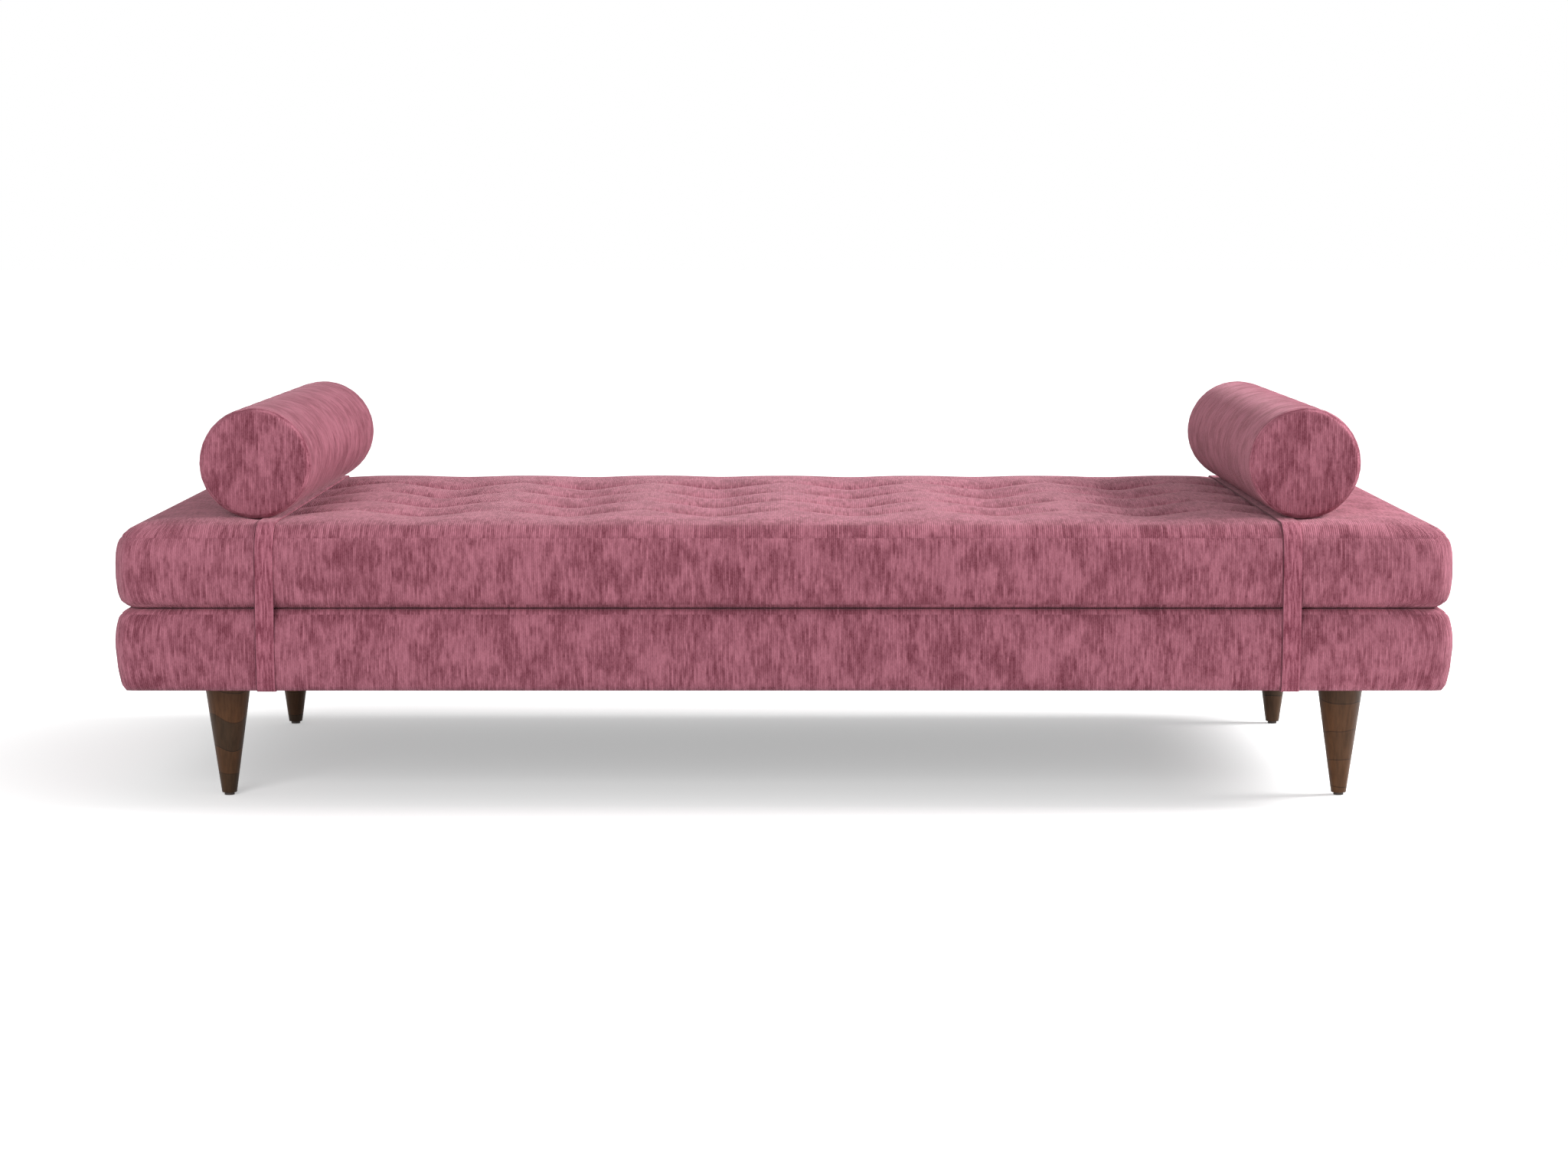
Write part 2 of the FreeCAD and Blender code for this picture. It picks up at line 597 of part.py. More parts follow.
def make_mattress_filling():
    """A foam core with fibre wadding on it, both pierced for the tuft ties."""
    filling = mattress_block("mattress_filling", "(cover_wall + fabric_slack)")
    wide = either_side(BEYOND)
    slots = tuft_rods("slot", "tie_radius + tie_slot", "0", "overall_depth")
    soft = cut("pierced", filling, slots)
    room = block("wadding_room", wide, wide, (WADDING_LOW, f"{MATTRESS_TOP} + top_foam"))
    keep(common("wadding", soft, room),
         "mattress_wadding")
    core = common("core", soft, block("core_room", wide, wide, ("0", WADDING_LOW)))
    rebate = block("rebate", (f"{END} - cover_wall - zip_wall - fabric_slack", f"{END} + rail_wall"),
                   either_side("mattress_zip_length / 2 + fabric_slack"),
                   (f"{ZIP_MIDDLE} - zip_width / 2 - fabric_slack",
                    f"{ZIP_MIDDLE} + zip_width / 2 + fabric_slack"))
    keep(cut("rebated_core", core, rebate), "mattress_foam")
    keep(tuft_rods("tie", "tie_radius", f"{MATTRESS_LOW} + cover_wall", f"{MATTRESS_TOP} - cover_wall"),
         "mattress_tuft_ties")


def make_mattress_zip():
    """The tape lies behind the border, and its teeth show in the opening."""
    face = f"{END} - cover_wall"
    tape = block("tape", (f"{face} - zip_wall", face), either_side("mattress_zip_length / 2"),
                 (f"{ZIP_MIDDLE} - zip_width / 2", f"{ZIP_MIDDLE} + zip_width / 2"))
    chain = block("chain", (face, f"{face} + zip_chain_wall"), either_side("mattress_zip_length / 2"),
                  (f"{ZIP_MIDDLE} - zip_chain_width / 2", f"{ZIP_MIDDLE} + zip_chain_width / 2"))
    keep(fuse("zip", [tape, chain]), "mattress_zip")
    start = "-mattress_zip_length / 2"
    back = f"{face} + zip_chain_wall + zip_fit"
    keep(block("slider", (back, f"{back} + slider_wall"), (start, f"{start} + slider_length"),
               (f"{ZIP_MIDDLE} - slider_width / 2", f"{ZIP_MIDDLE} + slider_width / 2")),
         "mattress_zip_slider")


# The bolsters and their straps.

def bolster_block(name, middle, inset):
    """A round bolster with soft end edges, or the same form drawn in by an even amount."""
    body = doc.addObject("PartDesign::Body", name)
    base = body.newObject("PartDesign::AdditiveCylinder", name + "_round")
    bind(base, "Radius", f"bolster_radius - ({inset})")
    bind(base, "Height", f"bolster_length - 2 * ({inset})")
    base.Placement = FreeCAD.Placement(FreeCAD.Vector(), TURNS["y"])
    place(base, middle, f"-bolster_length / 2 + {inset}", BOLSTER_AXIS)
    round_off(body, base, f"bolster_edge - ({inset})",
              lambda edge: edge.Closed and edge.BoundBox.YLength < ROUNDING)
    return body


def arc_strip(name, middle, radius, width, start, length, towards):
    """A wedge of the bolster's round, as wide as asked and centred on one direction."""
    piece = doc.addObject("Part::Cylinder", name)
    bind(piece, "Radius", radius)
    bind(piece, "Height", length)
    bind(piece, "Angle", f"{width} / bolster_radius * {DEGREES_PER_RADIAN}")
    half = sheet.get(width) / sheet.get("bolster_radius") * DEGREES_PER_RADIAN / 2
    turn = TURNS["y"].multiply(FreeCAD.Rotation(FreeCAD.Vector(0, 0, 1), towards - half))
    piece.Placement = FreeCAD.Placement(FreeCAD.Vector(), turn)
    place(piece, middle, start, BOLSTER_AXIS)
    return piece


def make_bolster_zip(side, middle, towards):
    """A zip along the lower outer side of the bolster, and its slider at the front end."""
    start = "-bolster_zip_length / 2"
    under = "bolster_radius + zip_fit"
    tape = arc_strip("arc_tape", middle, f"{under} + zip_wall", "zip_width", start,
                     "bolster_zip_length", towards)
    chain = arc_strip("arc_chain", middle, f"{under} + zip_wall + zip_chain_wall", "zip_chain_width", start,
                      "bolster_zip_length", towards)
    hollow = rod("zip_hollow", "y", under, (middle, "-bolster_length", BOLSTER_AXIS), "2 * bolster_length")
    keep(cut("bolster_zip", fuse("zip_blank", [tape, chain]), hollow), f"bolster_{side}_zip")
    inner = f"{under} + zip_wall + zip_chain_wall + zip_fit"
    blank = arc_strip("arc_slider", middle, f"{inner} + slider_wall", "slider_width", start,
                      "slider_length", towards)
    bed = rod("slider_hollow", "y", inner, (middle, "-bolster_length", BOLSTER_AXIS), "2 * bolster_length")
    keep(cut("bolster_slider", blank, bed), f"bolster_{side}_zip_slider")


def make_bolster(side, middle, towards):
    """A sewn sleeve with a panel at each end, round a foam core."""
    skin = cut("bolster_skin", bolster_block("bolster_outside", middle, "0"),
               bolster_block("bolster_inside", middle, "cover_wall"))
    wide = either_side(BEYOND)
    seam = "bolster_length / 2 - bolster_seam_inset"
    keep(common("sleeve", skin, block("sleeve_room", wide, either_side(seam), either_side(BEYOND))),
         f"bolster_{side}_sleeve")
    front = common("front_end", skin, block("front_room", wide, ("-bolster_length", f"-({seam})"), wide))
    back = common("back_end", skin, block("back_room", wide, (seam, "bolster_length"), wide))
    keep(group("ends", [front, back]), f"bolster_{side}_end_panels")
    keep(bolster_block("bolster_core", middle, "(cover_wall + fabric_slack)"), f"bolster_{side}_foam")
    make_bolster_zip(side, middle, towards)


def make_strap(side, middle):
    """A band round mattress and platform, in an upper part and a run under the platform."""
    across = (f"{middle} - strap_width / 2", f"{middle} + strap_width / 2")
    inner_y = either_side(f"{FRONT} + rest_gap")
    inner_z = ("leg_height - strap_hang", f"{MATTRESS_TOP} + rest_gap")
    inner = bent_block("strap_inside", grown(across, "strap_width"), inner_y, inner_z,
                       "mattress_rim + rest_gap", "platform_heel + rest_gap")
    outer = bent_block("strap_outside", across, grown(inner_y, "strap_wall"), grown(inner_z, "strap_wall"),
                       "mattress_rim + rest_gap + strap_wall", "platform_heel + rest_gap + strap_wall")
    ring = cut("strap_ring", outer, inner)
    wide = either_side(BEYOND)
    split = "leg_height + strap_turn"
    upper_room = block("upper_side", wide, wide, (f"{split} + rest_gap", BEYOND))
    keep(common("strap_upper", ring, upper_room), f"strap_{side}")
    keep(common("strap_under", ring, block("under_side", wide, wide, ("0", split))), f"strap_{side}_under")


def check_and_write():
    """Stop at a failed object or shape, then write one file for each sub-part."""
    doc.recompute()
    for item in doc.Objects:
        if "Invalid" in item.State or "Error" in item.State:
            raise RuntimeError(f"{item.Name} ({item.Label}) failed: {item.State}")
    for piece in sub_parts:
        if piece.Shape.isNull() or not piece.Shape.isValid() or not piece.Shape.Solids:
            raise RuntimeError(f"{piece.Label} has no valid shape")
    os.makedirs("parts", exist_ok=True)
    for piece in sub_parts:
        piece.Shape.exportStep(f"parts/{piece.Label}.step")
    print(len(sub_parts), "sub-parts written")


make_rails()
make_leg_board("left", -1)
make_leg_board("right", 1)
make_bearers()
make_glue_blocks()
make_frame_screws()
make_deck()
make_platform_cover()
make_platform_foam()
make_dust_cover()
make_staples()
make_leg("leg_front_left", -1, -1)
make_leg("leg_front_right", 1, -1)
make_leg("leg_back_left", -1, 1)
make_leg("leg_back_right", 1, 1)
make_leg_fittings()
make_mattress_cover()
make_mattress_filling()
make_mattress_zip()
LEFT_AXIS = f"-({END} - bolster_left_inset)"
RIGHT_AXIS = f"{END} - bolster_right_inset"
make_bolster("left", LEFT_AXIS, 135)
make_bolster("right", RIGHT_AXIS, 45)
make_strap("left", f"{LEFT_AXIS} + strap_left_offset")
make_strap("right", f"{RIGHT_AXIS} - strap_right_offset")
check_and_write()
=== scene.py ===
# %% [markdown]
# A daybed in a pale studio, built piece by piece around its finished construction.
# The frame file holds every part at its real size.  The soft parts there are plain solids, so
# this lesson replaces them with sewn, padded and tufted ones, and then gives every surface a
# finish.  All lengths are in metres; X runs left to right, Y front to back, Z up.

# %% Load the frame
import math

import bmesh
import bpy
import numpy as np
from mathutils import Matrix, Vector


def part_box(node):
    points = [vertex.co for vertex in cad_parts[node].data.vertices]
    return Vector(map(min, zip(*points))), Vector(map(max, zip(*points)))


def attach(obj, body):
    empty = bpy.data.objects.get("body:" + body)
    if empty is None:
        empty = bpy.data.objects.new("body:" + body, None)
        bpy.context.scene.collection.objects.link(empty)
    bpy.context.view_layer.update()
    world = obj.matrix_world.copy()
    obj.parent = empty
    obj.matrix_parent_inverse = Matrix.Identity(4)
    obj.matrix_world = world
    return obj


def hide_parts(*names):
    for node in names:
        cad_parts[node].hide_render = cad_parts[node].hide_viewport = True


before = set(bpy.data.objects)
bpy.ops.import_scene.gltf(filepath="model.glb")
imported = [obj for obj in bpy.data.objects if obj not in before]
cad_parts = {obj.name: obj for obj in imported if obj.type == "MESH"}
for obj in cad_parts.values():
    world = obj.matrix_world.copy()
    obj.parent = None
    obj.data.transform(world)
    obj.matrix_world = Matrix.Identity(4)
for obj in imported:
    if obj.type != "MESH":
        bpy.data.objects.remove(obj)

scene = bpy.context.scene
scene.view_settings.view_transform = "Standard"
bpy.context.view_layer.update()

# %% [markdown]
# The main sizes are read from the frame.  The box of a node gives its lowest and its highest
# corner.  The padded outlines further down are drawn round these sizes.

# %% Sizes read from the frame
band_low, band_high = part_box("platform_side_band")
border_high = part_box("mattress_border")[1]
HALF_LENGTH, HALF_DEPTH = border_high[0], border_high[1]
PLATFORM_LOW, PLATFORM_SEAM = band_low[2], band_high[2]
MATTRESS_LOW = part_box("mattress_bottom_panel")[0][2]
UPPER_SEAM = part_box("mattress_top_panel")[0][2]
TIE_RADIUS = 0.001
tie_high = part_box("mattress_tuft_ties")[1]
TUFT_X, TUFT_Y = tie_high[0] - TIE_RADIUS, tie_high[1] - TIE_RADIUS
TUFT_COLUMNS, TUFT_ROWS = 8, 4
COLUMN_STEP = 2 * TUFT_X / (TUFT_COLUMNS - 1)
ROW_STEP = 2 * TUFT_Y / (TUFT_ROWS - 1)
SIDES = ("left", "right")


def middle_of(node):
    """The centre of a node's box."""
    low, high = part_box(node)
    return (Vector(low) + Vector(high)) / 2


BOLSTER_RADIUS = (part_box("bolster_left_sleeve")[1][0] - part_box("bolster_left_sleeve")[0][0]) / 2
BOLSTER_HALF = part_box("bolster_left_end_panels")[1][1]
BOLSTER_X = {side: middle_of(f"bolster_{side}_sleeve").x for side in SIDES}
BOLSTER_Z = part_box("bolster_left_sleeve")[0][2] + BOLSTER_RADIUS
STRAP_X = {side: middle_of(f"strap_{side}").x for side in SIDES}
STRAP_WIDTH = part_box("strap_left")[1][0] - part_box("strap_left")[0][0]
print("bolster radius", round(BOLSTER_RADIUS, 4), "axis height", round(BOLSTER_Z, 4))

# %% [markdown]
# The camera stands in front of the bed, a little above it, with a long lens that keeps the
# perspective calm.

# %% Camera
CAMERA_AWAY = 5.997
CAMERA_HEIGHT = 0.9228
CAMERA_DOWN = math.radians(6.11)
camera_data = bpy.data.cameras.new("camera")
camera_data.sensor_width = 36.0
camera_data.lens = 83.9
camera = bpy.data.objects.new("camera", camera_data)
camera.location = (0.0, -CAMERA_AWAY, CAMERA_HEIGHT)
camera.rotation_euler = (math.pi / 2 - CAMERA_DOWN, 0.0, 0.0)
scene.collection.objects.link(camera)
scene.camera = camera

# %% [markdown]
# A material is a small graph of nodes.  Short helpers keep the graphs readable: the first places
# a node and feeds it, and the others use it for sums, noise, ranges, colours and bumps.


# %% Helpers for node graphs
def add(tree, kind, feeds=None, **settings):
    """Place a node, give it its settings, and feed its inputs with values or other sockets."""
    made = tree.nodes.new(kind)
    for name, value in settings.items():
        setattr(made, name, value)
    for name, value in (feeds or {}).items():
        if isinstance(value, bpy.types.NodeSocket):
            tree.links.new(value, made.inputs[name])
        else:
            made.inputs[name].default_value = value
    return made


def reckon(tree, operation, first, second=0.0):
    """One sum on two values."""
    return add(tree, "ShaderNodeMath", {0: first, 1: second}, operation=operation).outputs[0]


def weighted_sum(tree, *pairs):
    """Several values added up, each with its own weight."""
    total = 0.0
    for value, weight in pairs:
        total = reckon(tree, "ADD", total, reckon(tree, "MULTIPLY", value, weight))
    return total


def stretch(tree, vector, scales):
    """A vector scaled by a different amount along each axis."""
    return add(tree, "ShaderNodeVectorMath", {0: vector, 1: scales}, operation="MULTIPLY").outputs[0]


def noise(tree, vector, detail=2.0, roughness=0.5):
    """Soft noise between 0 and 1, with patches about one unit wide."""
    return add(tree, "ShaderNodeTexNoise", {"Vector": vector, "Scale": 1.0, "Detail": detail,
                                            "Roughness": roughness}).outputs["Fac"]


def remap(tree, value, low, high, new_low=0.0, new_high=1.0, smooth=False):
    """Move a value from one range to another and hold it there."""
    kind = "SMOOTHSTEP" if smooth else "LINEAR"
    return add(tree, "ShaderNodeMapRange", {"Value": value, "From Min": low, "From Max": high,
                                            "To Min": new_low, "To Max": new_high},
               interpolation_type=kind).outputs["Result"]


def blend_colour(tree, share, first, second):
    """A colour between two others."""
    return add(tree, "ShaderNodeMix", {0: share, 6: first, 7: second}, data_type="RGBA").outputs[2]


def add_bump(tree, shader, height, strength, depth):
    """Let a height of the finish tilt the shading."""
    bump = add(tree, "ShaderNodeBump", {"Height": height, "Strength": strength, "Distance": depth})
    tree.links.new(bump.outputs[0], shader.inputs["Normal"])


def group_tree(name, inputs, outputs):
    """An empty node group with named inputs and outputs."""
    tree = bpy.data.node_groups.new(name, "ShaderNodeTree")
    for label, kind, value in inputs:
        socket = tree.interface.new_socket(label, in_out="INPUT", socket_type=kind)
        if value is not None:
            socket.default_value = value
    for label, kind in outputs:
        tree.interface.new_socket(label, in_out="OUTPUT", socket_type=kind)
    return tree, tree.nodes.new("NodeGroupInput").outputs, tree.nodes.new("NodeGroupOutput").inputs


def srgb(red, green, blue):
    """A colour as people write it, from 0 to 255, turned into the linear light that nodes use."""
    parts = [value / 255 for value in (red, green, blue)]
    light = [value / 12.92 if value <= 0.04045 else ((value + 0.055) / 1.055) ** 2.4 for value in parts]
    return (*light, 1.0)


def new_material(name):
    """A material with an empty graph and its Principled shader."""
    material = bpy.data.materials.new(name)
    material.use_nodes = True
    tree = material.node_tree
    shader = tree.nodes["Principled BSDF"]
    return material, tree, shader


# %% [markdown]
# The cover is a ribbed chenille.  Fine cords of pile run one way, and the dye takes unevenly, so
# short dark and light streaks follow the cords and gather into cloudy patches.  The pattern reads
# the cloth's own map, where one unit is one metre, U runs across the cords and V along them.
# One group makes the colour, the height and the roughness, and each cloth gives it its own sizes.

# %% The ribbed chenille group
FULL_TURN = 2 * math.pi
CORD_SHIFT = 5.37
CORD_STREAK = 32.0
SHARED_STREAK = (310.0, 25.0, 0.0)
NUB_GRAIN = (620.0, 300.0, 0.0)
PATCH_GRAIN = (22.0, 15.0, 0.0)
BROAD_GRAIN = (6.0, 4.5, 0.0)


def make_chenille_group():
    """Cords, streaks and patches from a cloth's own map."""
    tree, given, out = group_tree(
        "ribbed_chenille",
        [("Cloth", "NodeSocketVector", None), ("Light", "NodeSocketColor", (0.5, 0.3, 0.3, 1)),
         ("Dark", "NodeSocketColor", (0.2, 0.1, 0.1, 1)), ("Cord Pitch", "NodeSocketFloat", 0.0031),
         ("Patchiness", "NodeSocketFloat", 0.5)],
        [("Color", "NodeSocketColor"), ("Height", "NodeSocketFloat"), ("Roughness", "NodeSocketFloat")])
    cloth = given["Cloth"]
    across, along = add(tree, "ShaderNodeSeparateXYZ", {0: cloth}).outputs[:2]
    count = reckon(tree, "DIVIDE", across, given["Cord Pitch"])
    cord_rise_and_groove_shade = remap(tree, reckon(tree, "COSINE", reckon(tree, "MULTIPLY", count, FULL_TURN)), 1.0, -1.0)
    number = reckon(tree, "MULTIPLY", reckon(tree, "FLOOR", count), CORD_SHIFT)
    down_cord = reckon(tree, "MULTIPLY", along, CORD_STREAK)
    own_place = add(tree, "ShaderNodeCombineXYZ", {0: number, 1: down_cord}).outputs[0]
    own = noise(tree, own_place, detail=2.0, roughness=0.6)
    shared = noise(tree, stretch(tree, cloth, SHARED_STREAK), detail=3.0, roughness=0.62)
    streak = weighted_sum(tree, (own, 0.5), (shared, 0.5))
    nub = noise(tree, stretch(tree, cloth, NUB_GRAIN), detail=2.0, roughness=0.7)
    patch = noise(tree, stretch(tree, cloth, PATCH_GRAIN), detail=6.0, roughness=0.70)
    broad = noise(tree, stretch(tree, cloth, BROAD_GRAIN), detail=1.0)
    cloud = weighted_sum(tree, (patch, 0.86), (broad, 0.14))
    mixed = add(tree, "ShaderNodeMix", {0: given["Patchiness"], 2: streak, 3: cloud}).outputs[0]
    tone = remap(tree, mixed, 0.42, 0.57, smooth=True)
    fine, thread = remap(tree, nub, 0.34, 0.66), remap(tree, own, 0.34, 0.66)
    # The cord term lightens each cord's crest and darkens the groove beside it: painted shade in the grooves,
    # over the bumped relief.
    share = weighted_sum(tree, (tone, 0.36), (fine, 0.22), (thread, 0.26), (cord_rise_and_groove_shade, 0.16))
    tree.links.new(blend_colour(tree, share, given["Dark"], given["Light"]), out["Color"])
    tree.links.new(weighted_sum(tree, (cord_rise_and_groove_shade, 0.50), (own, 0.40), (nub, 0.45)), out["Height"])
    tree.links.new(remap(tree, share, 0.0, 1.0, 0.98, 0.86), out["Roughness"])
    return tree


chenille_group = make_chenille_group()
# A strap's left edge is painted darker: a painted shade line for the shadow its side would throw.
PAINTED_EDGE_SHADE_WIDTH = 0.0018
PAINTED_EDGE_SHADE = srgb(58, 26, 34)


def make_chenille(name, light, dark, pitch, patchiness, depth, sheen, painted_shade_edge=None):
    """A chenille finish in two tones; a strap also gets a painted shade line along its left edge."""
    material, tree, shader = new_material(name)
    cloth = add(tree, "ShaderNodeUVMap", uv_map="cloth").outputs[0]
    weave = add(tree, "ShaderNodeGroup", node_tree=chenille_group)
    tree.links.new(cloth, weave.inputs["Cloth"])
    weave.inputs["Light"].default_value = light
    weave.inputs["Dark"].default_value = dark
    weave.inputs["Cord Pitch"].default_value = pitch
    weave.inputs["Patchiness"].default_value = patchiness
    colour = weave.outputs["Color"]
    if painted_shade_edge is not None:
        # Painted shade: the strap's colour darkens along its left edge.
        across = add(tree, "ShaderNodeSeparateXYZ", {0: cloth}).outputs[0]
        edge = remap(tree, across, painted_shade_edge, painted_shade_edge + PAINTED_EDGE_SHADE_WIDTH, 0.9, 0.0, smooth=True)
        colour = blend_colour(tree, edge, colour, PAINTED_EDGE_SHADE)
    tree.links.new(colour, shader.inputs["Base Color"])
    tree.links.new(weave.outputs["Roughness"], shader.inputs["Roughness"])
    add_bump(tree, shader, weave.outputs["Height"], 0.7, depth)
    shader.inputs["Specular IOR Level"].default_value = 0.12
    shader.inputs["Sheen Weight"].default_value = sheen
    shader.inputs["Sheen Roughness"].default_value = 0.40
    shader.inputs["Sheen Tint"].default_value = srgb(255, 196, 208)
    return material


cover_cloth = make_chenille("cover_chenille", srgb(199, 127, 144), srgb(98, 33, 49),
                            pitch=0.0031, patchiness=0.62, depth=0.0016, sheen=0.40)
strap_cloth = make_chenille("strap_chenille", srgb(199, 124, 142), srgb(108, 40, 57),
                            pitch=0.0023, patchiness=0.30, depth=0.0010, sheen=0.35, painted_shade_edge=-0.0142)
print("cloth finishes:", cover_cloth.name, strap_cloth.name)

# %% [markdown]
# The legs are turned from glued-up walnut.  Blocks of different tone meet at slanted glue lines,
# and a fine grain runs through each block.  The group works in the leg's own place, so each leg
# can be given another offset and shows another stretch of wood.


# %% The walnut group
BLOCKS_PER_METRE = 22.0
GLUE_LINE = 0.055


def make_walnut_group():
    """Glued walnut blocks with slanted joints and a fine grain."""
    tree, given, out = group_tree(
        "glued_walnut",
        [("Place", "NodeSocketVector", None), ("Warm", "NodeSocketColor", (0.1, 0.05, 0.03, 1)),
         ("Dull", "NodeSocketColor", (0.05, 0.03, 0.02, 1))],
        [("Color", "NodeSocketColor"), ("Height", "NodeSocketFloat"), ("Roughness", "NodeSocketFloat")])
    place = given["Place"]
    spot = add(tree, "ShaderNodeSeparateXYZ", {0: place}).outputs
    wave = noise(tree, stretch(tree, place, (14.0, 14.0, 9.0)), detail=1.0)
    slant = weighted_sum(tree, (spot[2], BLOCKS_PER_METRE), (spot[0], 2.6), (wave, 0.9))
    number = reckon(tree, "FLOOR", slant)
    within = reckon(tree, "FRACT", slant)
    block = add(tree, "ShaderNodeTexWhiteNoise", {"W": number}, noise_dimensions="1D").outputs["Value"]
    line = remap(tree, within, 0.0, GLUE_LINE, 1.0, 0.0, smooth=True)
    grain = noise(tree, stretch(tree, place, (240.0, 240.0, 14.0)), detail=4.0, roughness=0.6)
    figure = noise(tree, stretch(tree, place, (34.0, 34.0, 7.0)), detail=3.0, roughness=0.6)
    share = weighted_sum(tree, (block, 0.50), (figure, 0.50))
    colour = blend_colour(tree, remap(tree, share, 0.25, 0.75), given["Dull"], given["Warm"])
    pores = remap(tree, grain, 0.35, 0.60, 0.70, 1.0)
    glue_shade = reckon(tree, "SUBTRACT", 1.0, reckon(tree, "MULTIPLY", line, 0.62))
    darkening = reckon(tree, "MULTIPLY", pores, glue_shade)
    shade = add(tree, "ShaderNodeMix", {0: 1.0, 6: colour}, data_type="RGBA", blend_type="MULTIPLY")
    joined = add(tree, "ShaderNodeCombineColor", {0: darkening, 1: darkening, 2: darkening})
    tree.links.new(joined.outputs[0], shade.inputs[7])
    tree.links.new(shade.outputs[2], out["Color"])
    tree.links.new(reckon(tree, "SUBTRACT", grain, reckon(tree, "MULTIPLY", line, 0.5)), out["Height"])
    tree.links.new(remap(tree, grain, 0.3, 0.7, 0.50, 0.36), out["Roughness"])
    return tree


walnut_group = make_walnut_group()


def make_walnut(name, offset):
    """Satin walnut, shifted so that each leg shows its own piece of wood."""
    material, tree, shader = new_material(name)
    where = add(tree, "ShaderNodeTexCoord").outputs["Object"]
    moved = add(tree, "ShaderNodeMapping", {"Vector": where, "Location": offset})
    wood = add(tree, "ShaderNodeGroup", node_tree=walnut_group)
    tree.links.new(moved.outputs[0], wood.inputs["Place"])
    wood.inputs["Warm"].default_value = srgb(102, 66, 40)
    wood.inputs["Dull"].default_value = srgb(66, 48, 33)
    tree.links.new(wood.outputs["Color"], shader.inputs["Base Color"])
    tree.links.new(wood.outputs["Roughness"], shader.inputs["Roughness"])
    add_bump(tree, shader, wood.outputs["Height"], 0.25, 0.0004)
    shader.inputs["Specular IOR Level"].default_value = 0.18
    return material


# %% [markdown]
# The other finishes are plain things seen close up: sawn timber, plywood, cloth, plated steel and
# moulded nylon.  One group gives them a grain of their own, stretched along the way the stuff was
# sawn, spun, drawn or moulded.


# %% The plain grain group
def make_grain_group():
    """Two tones mixed by stretched noise."""
    tree, given, out = group_tree(
        "plain_grain",
        [("Place", "NodeSocketVector", None), ("Stretch", "NodeSocketVector", (100.0, 100.0, 100.0)),
         ("Light", "NodeSocketColor", (0.5, 0.5, 0.5, 1)), ("Dark", "NodeSocketColor", (0.4, 0.4, 0.4, 1)),
         ("Rough", "NodeSocketFloat", 0.6)],
        [("Color", "NodeSocketColor"), ("Height", "NodeSocketFloat"), ("Roughness", "NodeSocketFloat")])
    spread = add(tree, "ShaderNodeVectorMath", {0: given["Place"], 1: given["Stretch"]}, operation="MULTIPLY")
    grain = noise(tree, spread.outputs[0], detail=4.0, roughness=0.6)
    share = remap(tree, grain, 0.35, 0.65)
    tree.links.new(blend_colour(tree, share, given["Dark"], given["Light"]), out["Color"])
    tree.links.new(grain, out["Height"])
    roughness = reckon(tree, "ADD", given["Rough"], reckon(tree, "MULTIPLY", grain, 0.1))
    tree.links.new(roughness, out["Roughness"])
    return tree


grain_group = make_grain_group()


def make_plain(name, light, dark, grain, rough, depth, metallic=0.0):
    """A plain finish with its own grain."""
    material, tree, shader = new_material(name)
    stuff = add(tree, "ShaderNodeGroup", node_tree=grain_group)
    tree.links.new(add(tree, "ShaderNodeTexCoord").outputs["Object"], stuff.inputs["Place"])
    stuff.inputs["Stretch"].default_value = grain
    stuff.inputs["Light"].default_value = light
    stuff.inputs["Dark"].default_value = dark
    stuff.inputs["Rough"].default_value = rough
    tree.links.new(stuff.outputs["Color"], shader.inputs["Base Color"])
    tree.links.new(stuff.outputs["Roughness"], shader.inputs["Roughness"])
    add_bump(tree, shader, stuff.outputs["Height"], 0.5, depth)
    shader.inputs["Metallic"].default_value = metallic
    return material


PALE_SOFTWOOD, DEEP_SOFTWOOD = srgb(222, 190, 146), srgb(190, 150, 104)
softwood_x = make_plain("softwood_lengthwise", PALE_SOFTWOOD, DEEP_SOFTWOOD, (9, 160, 160), 0.6, 0.0004)
softwood_y = make_plain("softwood_crosswise", PALE_SOFTWOOD, DEEP_SOFTWOOD, (160, 9, 160), 0.6, 0.0004)
plywood = make_plain("birch_plywood", srgb(224, 200, 160), srgb(204, 172, 128), (12, 120, 900), 0.55, 0.0003)
dust_cloth = make_plain("non_woven_cloth", srgb(38, 38, 40), srgb(22, 22, 24), (900, 900, 900), 0.9, 0.0002)
plated_steel = make_plain("plated_steel", srgb(205, 205, 208), srgb(176, 176, 180),
                          (700, 700, 60), 0.3, 0.0001, metallic=1.0)
glide_nylon = make_plain("glide_nylon", srgb(62, 46, 36), srgb(40, 30, 24), (500, 500, 500), 0.45, 0.0002)
zip_nylon = make_plain("zip_nylon", srgb(134, 78, 94), srgb(104, 56, 70), (900, 900, 900), 0.42, 0.0001)
zip_tape_cloth = make_plain("zip_tape_cloth", srgb(150, 90, 105), srgb(116, 64, 80),
                            (1200, 240, 1200), 0.9, 0.0003)
zip_metal = make_plain("slider_metal", srgb(176, 150, 140), srgb(150, 122, 112),
                       (600, 600, 600), 0.34, 0.0001, metallic=1.0)

# %% [markdown]
# Each construction node that stays in view keeps its own mesh and takes one of these finishes.

